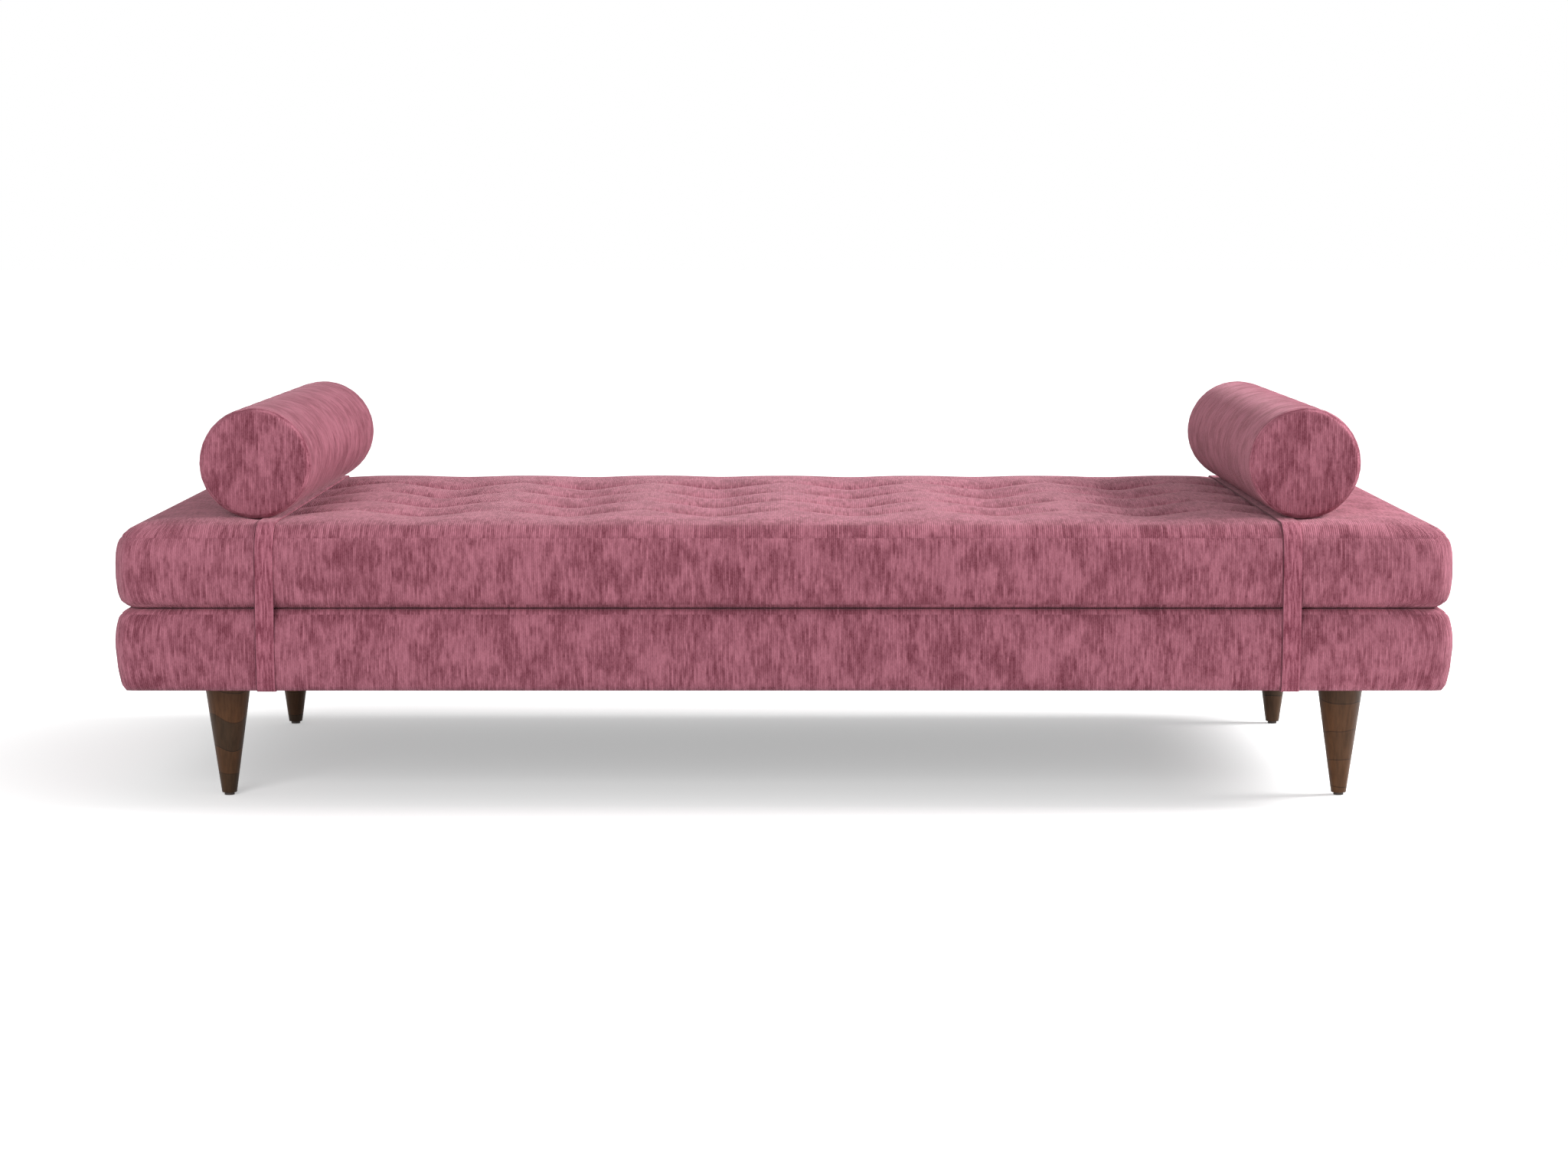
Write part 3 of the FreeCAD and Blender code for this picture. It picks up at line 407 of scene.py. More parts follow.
# %% Finishes for the construction nodes
NODES_OF_FINISH = (
    (softwood_x, ("front_rail", "back_rail")),
    (softwood_y, ("left_end_rail", "right_end_rail", "left_leg_board", "right_leg_board", "bearer_left",
                  "bearer_centre", "bearer_right", "corner_glue_blocks")),
    (plywood, ("deck_panel",)),
    (dust_cloth, ("dust_cover",)),
    (glide_nylon, ("leg_glides",)),
    (plated_steel, ("frame_screws", "deck_screws", "cover_staples", "leg_hanger_bolts", "leg_tee_nuts")),
)
finish_of_node = {node: finish for finish, nodes in NODES_OF_FINISH for node in nodes}
for node, finish in finish_of_node.items():
    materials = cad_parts[node].data.materials
    materials.clear()
    materials.append(finish)
print(len(finish_of_node), "construction nodes finished")

# %% [markdown]
# Three helpers finish every new mesh: one turns a bmesh into an object with its material, one
# sets the cloth map, and one puts a gentle, repeatable unevenness into soft shapes.


# %% Helpers for meshes
RIPPLE_WAVES = ((0.61, 0.45), (0.33, 0.3), (0.17, 0.15), (0.09, 0.1))


def to_object(name, mesh_maker, material, body):
    """Turn a bmesh into a smooth object that rides on a body of the frame."""
    mesh = bpy.data.meshes.new(name)
    mesh_maker.to_mesh(mesh)
    mesh_maker.free()
    mesh.polygons.foreach_set("use_smooth", [True] * len(mesh.polygons))
    mesh.materials.append(material)
    made = bpy.data.objects.new(name, mesh)
    scene.collection.objects.link(made)
    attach(made, body)
    print(name, "has", len(mesh.polygons), "faces")
    return made


def set_cloth_map(mesh_maker, map_of_face):
    """Give every corner of every face its place on the cloth, in metres."""
    layer = mesh_maker.loops.layers.uv.new("cloth")
    for face in mesh_maker.faces:
        place = map_of_face(face)
        for loop in face.loops:
            loop[layer].uv = place(loop.vert)


def ripple(x, y, seed):
    """A gentle unevenness between about -1 and 1, from a few waves that never line up."""
    total = 0.0
    for number, (length, share) in enumerate(RIPPLE_WAVES):
        turn = seed * 1.7 + number * 2.3
        along = x * np.cos(turn) + y * np.sin(turn)
        across = y * np.cos(turn) - x * np.sin(turn)
        total = total + share * np.sin(FULL_TURN * along / length + seed + number) \
            * np.cos(FULL_TURN * across / (length * 1.3) + 2 * number)
    return total


# %% [markdown]
# Platform and mattress are both padded boxes.  Each starts as a cube, cut into a fine grid with
# subdivide_edges, with extra loops where the seams run.  Then the grid is drawn onto the padded
# form: a list of heights and how far the wall is drawn in there gives the belly of the side, the
# plan's corners become arcs, and the top follows a height function.  A seam pulls a narrow line in.


# %% The padded box
def crowd(place, far, step, strength):
    """Move evenly spaced lines closer together near every tie and further apart between ties."""
    if abs(place) > far + step / 2:
        return place
    return place - strength * step / FULL_TURN * math.sin(FULL_TURN * (place + far) / step)


def gridded_box(half_x, half_y, levels, cell, crowding=(0.0, 0.0)):
    """A cube cut into a grid, with one ring of edges at each level."""
    mesh_maker = bmesh.new()
    bmesh.ops.create_cube(mesh_maker, size=2.0)
    cuts = (round(2 * half_x / cell) - 1, round(2 * half_y / cell) - 1, len(levels) - 2)
    for axis, number in enumerate(cuts):
        along = [edge for edge in mesh_maker.edges
                 if abs((edge.verts[0].co - edge.verts[1].co)[axis]) > 1.0]
        bmesh.ops.subdivide_edges(mesh_maker, edges=along, cuts=number, use_grid_fill=True)
    step = 2.0 / (len(levels) - 1)
    for vert in mesh_maker.verts:
        level = round((vert.co.z + 1.0) / step)
        vert.co = (crowd(vert.co.x * half_x, TUFT_X, COLUMN_STEP, crowding[0]),
                   crowd(vert.co.y * half_y, TUFT_Y, ROW_STEP, crowding[1]), levels[level])
    return mesh_maker


def cloth_place(half_x, half_y, low_seam, high_seam, top, bottom):
    """How each face of a padded box lies on the cloth, before the box is shaped."""
    def for_face(face):
        normal = face.normal
        level = face.calc_center_median().z
        over = low_seam if level < low_seam else high_seam
        flat = abs(normal.z) > 0.5
        faces_end, faces_side = abs(normal.x) > 0.5, abs(normal.y) > 0.5
        way_x, way_y = math.copysign(1.0, normal.x), math.copysign(1.0, normal.y)
        if flat or level > high_seam or level < low_seam:
            edge = top if over == high_seam else bottom
            end = 0.0 if flat else way_x * faces_end
            side = 0.0 if flat else way_y * faces_side
            return lambda vert: (vert.co.x + end * abs(edge - vert.co.z),
                                 vert.co.y + side * abs(edge - vert.co.z))
        if faces_side:
            shift = (half_x + half_y) * 4 * (normal.y > 0)
            return lambda vert: (-way_y * vert.co.x - shift, vert.co.z)
        return lambda vert: (way_x * (half_x + half_y) + vert.co.y, vert.co.z)
    return for_face


EDGE_ZONE = 0.12
SIDE_SWELL = 0.0007
GROOVE_DEPTH = GROOVE_WIDTH = 0.0016


def squeeze(place, half, inset):
    """Draw the last stretch of a side in by an inset; the middle stays, so cords stay straight."""
    beyond = np.clip(np.abs(place) - (half - EDGE_ZONE), 0, None)
    return np.sign(place) * (np.abs(place) - beyond * inset / EDGE_ZONE)


def round_corner(x, y, half_x, half_y, corner):
    """Turn square rings into rings with round corners."""
    out_x = np.abs(x) - (half_x - corner)
    out_y = np.abs(y) - (half_y - corner)
    both = (out_x > 0) & (out_y > 0)
    pull = np.maximum(out_x, out_y) / (np.hypot(out_x, out_y) + 1e-12)
    new_x = np.where(both, np.sign(x) * (half_x - corner + out_x * pull), x)
    new_y = np.where(both, np.sign(y) * (half_y - corner + out_y * pull), y)
    return new_x, new_y


def shape_box(mesh_maker, half_x, half_y, corner, profile, top_height, low_height, seams, seed):
    """Move the grid of a box onto the padded form."""
    spots = np.array([vert.co for vert in mesh_maker.verts])
    x, y, z = spots.T
    heights, insets = np.array(profile).T
    is_top = z > heights[-1] - 1e-6
    is_low = z < heights[0] + 1e-6
    swell = SIDE_SWELL * ripple(x + y, z * 0.8, seed)
    groove = sum(GROOVE_DEPTH * np.exp(-((z - seam) / GROOVE_WIDTH) ** 2) for seam in seams)
    inset = np.where(is_top | is_low, 0.0, swell + groove) + np.interp(z, heights, insets)
    new_x = squeeze(x, half_x, inset)
    new_y = squeeze(y, half_y, inset)
    within = np.minimum(half_x - np.abs(new_x), half_y - np.abs(new_y))
    new_x, new_y = round_corner(new_x, new_y, half_x, half_y, corner)
    new_z = np.where(is_top, top_height(new_x, new_y, within), z)
    new_z = np.where(is_low, low_height(new_x, new_y, within), new_z)
    for vert, spot in zip(mesh_maker.verts, np.stack((new_x, new_y, new_z), axis=1)):
        vert.co = spot


SEAM_RINGS = (-0.0045, -0.0018, 0.0, 0.0018, 0.0045)
SEAM_REACH = 0.006


def levels_with_seams(low, high, seams, step):
    """Even heights from low to high, with close rings round each seam."""
    rings = list(np.arange(low, high, step)) + [high]
    for seam in seams:
        rings = [ring for ring in rings if abs(ring - seam) > SEAM_REACH or ring in (low, high)]
        rings += [seam + shift for shift in SEAM_RINGS]
    return sorted(rings)


# %% [markdown]
# The platform's cover is drawn tight over thin foam, so its sides swell a little at half height
# and turn in towards the top and the bottom.

# %% Platform cover
PLATFORM_CORNER = 0.024
PLATFORM_CELL, PLATFORM_RING_STEP = 0.016, 0.0072
PLATFORM_FLOOR = PLATFORM_LOW - 0.0020
PLATFORM_RIM = 0.3005
RIM_INSET = 0.0200
platform_profile = [
    (PLATFORM_FLOOR, 0.0140), (0.1782, 0.0122), (0.1815, 0.0104), (0.187, 0.0083), (0.1987, 0.0060),
    (0.210, 0.0036), (0.2337, 0.0012), (0.245, 0.0), (0.257, 0.0), (0.268, 0.0012), (0.280, 0.0036),
    (0.288, 0.0062), (0.2925, 0.0085), (0.2960, 0.0115), (0.2985, 0.0150), (PLATFORM_RIM, RIM_INSET),
]


def platform_top(x, y, inset):
    """Nearly flat, a little softer at its rim."""
    return PLATFORM_RIM + 0.0012 * (1 - np.exp(-(inset - RIM_INSET) / 0.02))


def platform_floor(x, y, inset):
    """The padded edge hangs a little lower than the part that is stapled to the frame."""
    return PLATFORM_FLOOR + 0.0025 * np.clip((inset - 0.014) / 0.012, 0, 1)


def make_platform_cover():
    """The platform's cover, with the seam under its top edge."""
    levels = levels_with_seams(PLATFORM_FLOOR, PLATFORM_RIM, [PLATFORM_SEAM], PLATFORM_RING_STEP)
    mesh_maker = gridded_box(HALF_LENGTH, HALF_DEPTH, levels, PLATFORM_CELL)
    mesh_maker.normal_update()
    set_cloth_map(mesh_maker, cloth_place(HALF_LENGTH, HALF_DEPTH, PLATFORM_FLOOR - 1, PLATFORM_SEAM,
                                          PLATFORM_RIM, PLATFORM_FLOOR))
    shape_box(mesh_maker, HALF_LENGTH, HALF_DEPTH, PLATFORM_CORNER, platform_profile, platform_top,
              platform_floor, [PLATFORM_SEAM], seed=1.0)
    made = to_object("platform_cover", mesh_maker, cover_cloth, "platform")
    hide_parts("platform_top_panel", "platform_side_band", "platform_top_foam", "platform_side_foam")


make_platform_cover()

# %% [markdown]
# The mattress is tufted without buttons.  Ties pull the top down at a grid of points, and the
# cloth between them swells into pillows.  Along the rows the cloth folds in sharp creases that
# fade half way between two ties; along the columns it only dips.  The height is a formula of the
# distance to the nearest row and column, and the grid is closer near the ties, where the cloth turns
# sharply.  Where a bolster or a strap lies, the top is pressed down.

# %% Mattress heights
MATTRESS_CORNER = 0.038
MATTRESS_CELL, MATTRESS_RING_STEP = 0.0072, 0.0075
TUFT_CROWDING = (0.45, 0.65)
MATTRESS_FLOOR = MATTRESS_LOW + 0.0002
LOWER_SEAM = 0.3085
RIM_HEIGHT = 0.4272
MATTRESS_RIM_INSET = 0.0310
BOLSTER_SINK = 0.0022
CREST_RISE = 0.0095
CREASE_DEPTH = 0.0330
DIMPLE_DEPTH = 0.0095
VALLEY_DEPTH = 0.0085
CREASE_LENGTH = 0.050
CREASE_WANDER = 0.0035
CREASE_SHARPNESS = 0.0066
DIMPLE_LENGTH, DIMPLE_WIDTH = 0.075, 0.050
VALLEY_WIDTH = 0.052
TUFT_FADE = 0.13
VALLEY_FADE = 0.30
RIM_SWELL = 0.034
STRAP_BED = 0.4296
PRESS_GAP = PRESS_SOFTNESS = 0.0006
shoulder_profile = [
    (0.373, 0.0), (0.385, 0.0008), (0.3965, 0.0026), (0.403, 0.0050), (0.408, 0.0078), (0.414, 0.0122),
    (0.419, 0.0172), (0.4235, 0.0235), (RIM_HEIGHT, MATTRESS_RIM_INSET),
]
mattress_profile = [
    (MATTRESS_FLOOR, 0.0240), (0.3045, 0.0190), (0.3065, 0.0150), (LOWER_SEAM, 0.0118), (0.3115, 0.0085),
    (0.315, 0.0062), (0.327, 0.0024), (0.350, 0.0),
] + shoulder_profile


def off_line(place, far, step):
    """How far a place is from the nearest line of ties."""
    nearest = np.clip(np.round((place + far) / step) * step - far, -far, far)
    return np.abs(place - nearest)


def pressed(height, limit):
    """The lower of two heights, with a soft change from one to the other."""
    gap = np.clip((height - limit) / PRESS_SOFTNESS, -30, 30)
    return height - PRESS_SOFTNESS * np.log1p(np.exp(gap))


def mattress_top(x, y, inset):
    """The tufted top: creases along the rows, valleys along the columns, a dimple at each tie."""
    wander = CREASE_WANDER * np.sin(x * 23.0 + y * 9.0)
    row = off_line(y + wander, TUFT_Y, ROW_STEP)
    column = off_line(x, TUFT_X, COLUMN_STEP)
    uneven = 1.0 + 0.16 * ripple(x * 1.7, y * 1.7, 6.0)
    length = CREASE_LENGTH * uneven
    crease = np.exp(-(column / length) ** 1.8) + 0.035
    crease = crease * np.exp(-row / (CREASE_SHARPNESS + 0.09 * column))
    dimple = np.exp(-(column / DIMPLE_LENGTH) ** 2 - (row / DIMPLE_WIDTH) ** 2)
    valley = np.exp(-(column / VALLEY_WIDTH) ** 2)
    past_x = np.clip(np.abs(x) - TUFT_X, 0, 1)
    past_y = np.clip(np.abs(y) - TUFT_Y, 0, 1)
    fade = np.clip(1 - np.maximum(past_x, past_y) / TUFT_FADE, 0, 1)
    valley_fade = np.clip(1 - past_y / VALLEY_FADE, 0, 1)
    swell = 1 - np.exp(-(inset - MATTRESS_RIM_INSET) / RIM_SWELL)
    pulled = (CREASE_DEPTH * crease * uneven + DIMPLE_DEPTH * dimple) * fade
    pulled = pulled + VALLEY_DEPTH * valley * valley_fade
    height = RIM_HEIGHT + CREST_RISE * swell - pulled * swell
    height = height + 0.0009 * ripple(x, y, 4.0) * swell
    for side in SIDES:
        drop = np.abs(x - BOLSTER_X[side])
        half_chord = np.sqrt(np.clip(BOLSTER_RADIUS ** 2 - drop ** 2, 0, None))
        under = BOLSTER_Z - BOLSTER_SINK - half_chord - PRESS_GAP
        limit = np.where((drop < BOLSTER_RADIUS) & (np.abs(y) < BOLSTER_HALF + 0.004), under, 1.0)
        height = pressed(height, limit)
        band = np.clip((np.abs(x - STRAP_X[side]) - STRAP_WIDTH / 2) / 0.03, 0, 1)
        height = pressed(height, STRAP_BED + 0.006 * band)
    return height


def mattress_floor(x, y, inset):
    """Flat, where the mattress lies on the platform."""
    return np.full_like(x, MATTRESS_FLOOR)


# %% [markdown]
# The mattress cover takes these heights.  Its grid has rings at both seams of the border, and the
# top panel's seam pulls in a line just under the rim.


# %% Mattress cover
def make_mattress_cover():
    """The tufted top, the border and the bottom panel, sewn to one cover."""
    seams = [LOWER_SEAM, UPPER_SEAM]
    levels = levels_with_seams(MATTRESS_FLOOR, RIM_HEIGHT, seams, MATTRESS_RING_STEP)
    mesh_maker = gridded_box(HALF_LENGTH, HALF_DEPTH, levels, MATTRESS_CELL, crowding=TUFT_CROWDING)
    mesh_maker.normal_update()
    set_cloth_map(mesh_maker, cloth_place(HALF_LENGTH, HALF_DEPTH, LOWER_SEAM, UPPER_SEAM,
                                          RIM_HEIGHT, MATTRESS_FLOOR))
    shape_box(mesh_maker, HALF_LENGTH, HALF_DEPTH, MATTRESS_CORNER, mattress_profile, mattress_top,
              mattress_floor, seams, seed=2.0)
    made = to_object("mattress_cover", mesh_maker, cover_cloth, "mattress")
    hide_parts("mattress_top_panel", "mattress_border", "mattress_bottom_panel", "mattress_wadding",
                "mattress_foam", "mattress_tuft_ties")


make_mattress_cover()

# %% [markdown]
# A bolster is a firm roll.  Its half outline is a line of points from the middle of one end to
# the middle of the other, spun round the roll's axis.  The seam sits just inside the rounded end
# edge, and the sleeve gathers there into small puckers.

# %% Bolsters
BOLSTER_STEPS = 192
CROWN_STEPS, EDGE_STEPS, SLEEVE_STEPS = 12, 14, 60
BOLSTER_EDGE = 0.012
BOLSTER_CROWN = 0.002
BOLSTER_LEAN = 0.006
OUTWARD = {"left": -1, "right": 1}
SEAM_DEPTH, SEAM_WIDTH = 0.0012, 0.0010
PUCKER_DEPTH, PUCKERS_ROUND, PUCKER_REACH = 0.0003, 34, 0.016
SLACK_DEPTH, SLACK_WAVES = 0.00045, 57
SLEEVE_TIGHTNESS = 0.0003
BOLSTER_SEAM = BOLSTER_RADIUS - 0.0042
ROLL_Z = BOLSTER_Z - BOLSTER_SINK


def bolster_outline():
    """Distance along the axis and radius, from the middle of the front end to half length."""
    points = [(-BOLSTER_HALF, 0.0)]
    face = BOLSTER_RADIUS - BOLSTER_EDGE
    for step in range(1, CROWN_STEPS + 1):
        radius = face * step / CROWN_STEPS
        points.append((-BOLSTER_HALF + BOLSTER_CROWN * (radius / face) ** 3, radius))
    for step in range(1, EDGE_STEPS + 1):
        turn = math.pi / 2 * step / EDGE_STEPS
        along = -BOLSTER_HALF + BOLSTER_CROWN + BOLSTER_EDGE * (1 - math.cos(turn))
        points.append((along, face + BOLSTER_EDGE * math.sin(turn)))
    start = points[-1][0]
    length = -start
    for step in range(1, SLEEVE_STEPS + 1):
        points.append((start + length * (step / SLEEVE_STEPS) ** 1.25, BOLSTER_RADIUS))
    return points


def bolster_cloth_map(middle):
    """The ends carry upright cords; on the sleeve the cords run round the roll."""
    def for_face(face):
        centre = face.calc_center_median()
        radius = math.hypot(centre.x - middle, centre.z - ROLL_Z)
        if radius < BOLSTER_SEAM and abs(centre.y) > BOLSTER_HALF - BOLSTER_EDGE:
            return lambda vert: (vert.co.x - middle, vert.co.z)
        base = math.atan2(centre.x - middle, centre.z - ROLL_Z)

        def place(vert):
            angle = math.atan2(vert.co.x - middle, vert.co.z - ROLL_Z)
            angle += FULL_TURN * round((base - angle) / FULL_TURN)
            return (vert.co.y + 3.0, angle * BOLSTER_RADIUS)
        return place
    return for_face


def soften_bolster(mesh_maker, middle, seed):
    """Puckers at the seams, slack rings in the sleeve, and a sleeve drawn a little tight."""
    for vert in mesh_maker.verts:
        across, up = vert.co.x - middle, vert.co.z - ROLL_Z
        radius = math.hypot(across, up)
        if radius < 1e-5:
            continue
        angle = math.atan2(across, up)
        inward = BOLSTER_HALF - abs(vert.co.y)
        seam = math.exp(-((radius - BOLSTER_SEAM) / SEAM_WIDTH) ** 2) * (inward < BOLSTER_EDGE)
        on_sleeve = min(max((radius - 0.076) / 0.006, 0.0), 1.0)
        gather = math.exp(-max(inward - 0.008, 0.0) / PUCKER_REACH) * on_sleeve
        waves = math.sin(angle * PUCKERS_ROUND + 1.9 * math.sin(angle * 5 + seed))
        waves *= math.sin(angle * 9 + seed * 3)
        slack = math.sin(vert.co.y * SLACK_WAVES + math.sin(angle * 2 + seed) * 1.3) * on_sleeve
        change = -SEAM_DEPTH * seam + PUCKER_DEPTH * waves * gather + SLACK_DEPTH * slack
        change -= SLEEVE_TIGHTNESS * on_sleeve
        scale = (radius + change) / radius
        vert.co.x = middle + across * scale
        vert.co.z = ROLL_Z + up * scale


def lean_out(verts, side):
    """The rolls lie a little splayed: their front ends sit further out."""
    for vert in verts:
        vert.co.x += OUTWARD[side] * BOLSTER_LEAN * (BOLSTER_HALF - vert.co.y) / (2 * BOLSTER_HALF)


def make_bolster(side):
    """One bolster, spun round its axis."""
    middle = BOLSTER_X[side]
    half = bolster_outline()
    whole = half + [(-along, radius) for along, radius in reversed(half[:-1])]
    mesh_maker = bmesh.new()
    verts = [mesh_maker.verts.new((middle, along, ROLL_Z + radius)) for along, radius in whole]
    edges = [mesh_maker.edges.new(pair) for pair in zip(verts, verts[1:])]
    bmesh.ops.spin(mesh_maker, geom=verts + edges, cent=(middle, 0, ROLL_Z), axis=(0, 1, 0),
                   angle=FULL_TURN, steps=BOLSTER_STEPS, use_merge=True)
    bmesh.ops.remove_doubles(mesh_maker, verts=mesh_maker.verts, dist=1e-6)
    bmesh.ops.recalc_face_normals(mesh_maker, faces=mesh_maker.faces)
    mesh_maker.normal_update()
    set_cloth_map(mesh_maker, bolster_cloth_map(middle))
    soften_bolster(mesh_maker, middle, seed=1.0 if side == "left" else 2.6)
    lean_out(mesh_maker.verts, side)
    made = to_object(f"bolster_{side}_cover", mesh_maker, cover_cloth, f"bolster_{side}")
    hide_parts(f"bolster_{side}_sleeve", f"bolster_{side}_end_panels", f"bolster_{side}_foam")


for side in SIDES:
    make_bolster(side)

# %% [markdown]
# A strap of the same cloth, folded flat, holds each bolster.  It is drawn tight, so it follows
# the outline only where the padding pushes it out, and bridges the gap between mattress and
# platform.  The path is a list of points; a ribbon is extruded from it and given its thickness.
# Each strap is made as two runs that meet low on the platform's face: the upper one moves with its
# bolster and the mattress, and the lower one stays under the platform.

# %% Straps
STRAP_WALL = 0.0023
STRAP_GAP = 0.0004
STRAP_BEND = 0.011
STRAP_COLUMNS = 6
STRAP_TOP = 0.4300
STRAP_FOOT_INSET = 0.0077
STRAP_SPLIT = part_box("strap_left_under")[1][2]
STRAP_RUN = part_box("strap_left_under")[0][2] + STRAP_WALL
strap_face = [
    (0.190, STRAP_FOOT_INSET), (0.1987, 0.0060), (0.210, 0.0036), (0.2337, 0.0012), (0.245, 0.0),
] + shoulder_profile + [(0.4290, 0.0370), (0.4298, 0.0450), (STRAP_TOP, 0.0600)]


def ribbon(name, path, middle, body, node):
    """A flat strap along a path in the YZ plane, thickened outwards."""
    mesh_maker = bmesh.new()
    start = middle - STRAP_WIDTH / 2
    verts = [mesh_maker.verts.new((start, y, z)) for y, z in path]
    edges = [mesh_maker.edges.new(pair) for pair in zip(verts, verts[1:])]
    for _ in range(STRAP_COLUMNS):
        grown = bmesh.ops.extrude_edge_only(mesh_maker, edges=edges)["geom"]
        moved = [item for item in grown if isinstance(item, bmesh.types.BMVert)]
        edges = [item for item in grown if isinstance(item, bmesh.types.BMEdge)
                 and all(vert in moved for vert in item.verts)]
        bmesh.ops.translate(mesh_maker, verts=moved, vec=(STRAP_WIDTH / STRAP_COLUMNS, 0, 0))
    bmesh.ops.recalc_face_normals(mesh_maker, faces=mesh_maker.faces)
    mesh_maker.normal_update()
    probe = max(mesh_maker.faces, key=lambda face: abs(face.calc_center_median().y))
    outward = math.copysign(1.0, probe.calc_center_median().y)
    if probe.normal.y * outward < 0:
        bmesh.ops.reverse_faces(mesh_maker, faces=mesh_maker.faces)
    lengths = {}
    total = 0.0
    for (y, z), (next_y, next_z) in zip(path, path[1:] + path[-1:]):
        lengths[(round(y, 5), round(z, 5))] = total
        total += math.hypot(next_y - y, next_z - z)
    set_cloth_map(mesh_maker, lambda face: lambda vert: (
        vert.co.x - middle, lengths[(round(vert.co.y, 5), round(vert.co.z, 5))]))
    made = to_object(name, mesh_maker, strap_cloth, body)
    wall = made.modifiers.new("wall", "SOLIDIFY")
    wall.thickness = STRAP_WALL
    wall.offset = 1.0
    edge = made.modifiers.new("edge", "BEVEL")
    edge.width = 0.0008
    edge.segments = 3
    edge.limit_method = "ANGLE"
    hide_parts(node)


def upper_path():
    """From low on the back, over the mattress, to low on the front."""
    heights, insets = np.array(strap_face).T
    levels = list(np.arange(STRAP_SPLIT, 0.372, 0.012)) + [z for z in heights if z > 0.372]
    front = [(-(HALF_DEPTH - float(np.interp(z, heights, insets)) + STRAP_GAP), float(z)) for z in levels]
    flat = [(y, STRAP_TOP) for y in np.linspace(-0.40, 0.40, 41)]
    back = [(-y, z) for y, z in reversed(front)]
    return front + flat + back


def under_path():
    """From low on the front, round the bottom edge and under the platform, to low on the back."""
    face = HALF_DEPTH - STRAP_FOOT_INSET + STRAP_GAP
    turn = [(-(face - STRAP_BEND + STRAP_BEND * math.cos(angle)),
             STRAP_RUN + STRAP_BEND - STRAP_BEND * math.sin(angle))
            for angle in np.linspace(0, math.pi / 2, 9)]
    front = [(-face, STRAP_SPLIT)] + turn
    flat = [(y, STRAP_RUN) for y in np.linspace(-0.46, 0.46, 31)]
    return front + flat + [(-y, z) for y, z in reversed(front)]


for side in SIDES:
    ribbon(f"strap_{side}_band", upper_path(), STRAP_X[side], f"bolster_{side}", f"strap_{side}")
    ribbon(f"strap_{side}_lower_run", under_path(), STRAP_X[side], f"strap_{side}_under",
           f"strap_{side}_under")

# %% [markdown]
# A leg is turned on a lathe, so its outline is spun round its own axis.  The outline keeps the
# crisp shoulder at the foot, softened by a small edge.

# %% Legs
LEG_STEPS = 96
LEG_SIDES = 24
LEG_EDGE = 0.0009
LEG_TIP_RADIUS = 0.0116
LEG_TOP_GAP = 0.0002


def leg_outline(low, high, tip, top):
    """Radius and height from the foot to the top."""
    edge = LEG_EDGE
    points = [(0.0, low), (tip - edge, low), (tip - edge * 0.3, low + edge * 0.3), (tip, low + edge)]
    for step in range(1, LEG_SIDES + 1):
        share = step / LEG_SIDES
        points.append((tip + (top - tip) * share, low + edge + (high - low - edge) * share))
    return points + [(0.0, high)]


def make_leg(name, offset):
    """One turned leg in walnut."""
    low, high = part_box(name)
    middle = middle_of(name)
    top = (high[0] - low[0]) / 2
    mesh_maker = bmesh.new()
    outline = leg_outline(low[2], high[2] - LEG_TOP_GAP, LEG_TIP_RADIUS, top)
    verts = [mesh_maker.verts.new((middle.x + radius, middle.y, height)) for radius, height in outline]
    edges = [mesh_maker.edges.new(pair) for pair in zip(verts, verts[1:])]
    bmesh.ops.spin(mesh_maker, geom=verts + edges, cent=(middle.x, middle.y, 0), axis=(0, 0, 1),
                   angle=FULL_TURN, steps=LEG_STEPS, use_merge=True)
    bmesh.ops.remove_doubles(mesh_maker, verts=mesh_maker.verts, dist=1e-6)
    bmesh.ops.recalc_face_normals(mesh_maker, faces=mesh_maker.faces)
    made = to_object(f"{name}_turned", mesh_maker, make_walnut(f"walnut_{name}", offset), "platform")
    made.data.set_sharp_from_angle(angle=math.radians(40))
    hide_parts(name)


LEG_OFFSETS = {"leg_front_left": (0.31, 0.2, 0.012), "leg_front_right": (1.7, 0.9, 0.030),
               "leg_back_left": (2.3, 1.4, 0.021), "leg_back_right": (3.1, 0.4, 0.005)}
for name, offset in LEG_OFFSETS.items():
    make_leg(name, offset)

# %% [markdown]
# The zips are out of sight from the front: the mattress's runs along its right end, and each
# bolster's lies low on its outer side.  Each has a woven tape, a row of small coil teeth and a
# slider with a bridge on its back.


# %% Zip pieces
TAPE_WIDTH, TAPE_WALL = 0.016, 0.0007
TOOTH_PITCH = 0.0024
TOOTH_SIZE = (0.0042, TOOTH_PITCH * 0.62, 0.0010)
TOOTH_OFFSET, TOOTH_HEIGHT, TOOTH_SLANT = 0.0007, 0.0009, 0.25
SLIDER_SIZE = (0.0085, 0.012, 0.0012)


def teeth_and_tape(name, tape_corners, teeth, body, node):
    """A tape with a row of teeth as one mesh with two finishes."""
    mesh_maker = bmesh.new()
    for matrix, size in [tape_corners] + teeth:
        made = bmesh.ops.create_cube(mesh_maker, size=1.0)
        bmesh.ops.scale(mesh_maker, verts=made["verts"], vec=size)
        bmesh.ops.transform(mesh_maker, verts=made["verts"], matrix=matrix)
    mesh_maker.faces.ensure_lookup_table()
    for face in mesh_maker.faces[6:]:
        face.material_index = 1
    obj = to_object(name, mesh_maker, zip_tape_cloth, body)
    obj.data.materials.append(zip_nylon)
    obj.data.set_sharp_from_angle(angle=math.radians(30))
    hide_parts(node)
    return obj


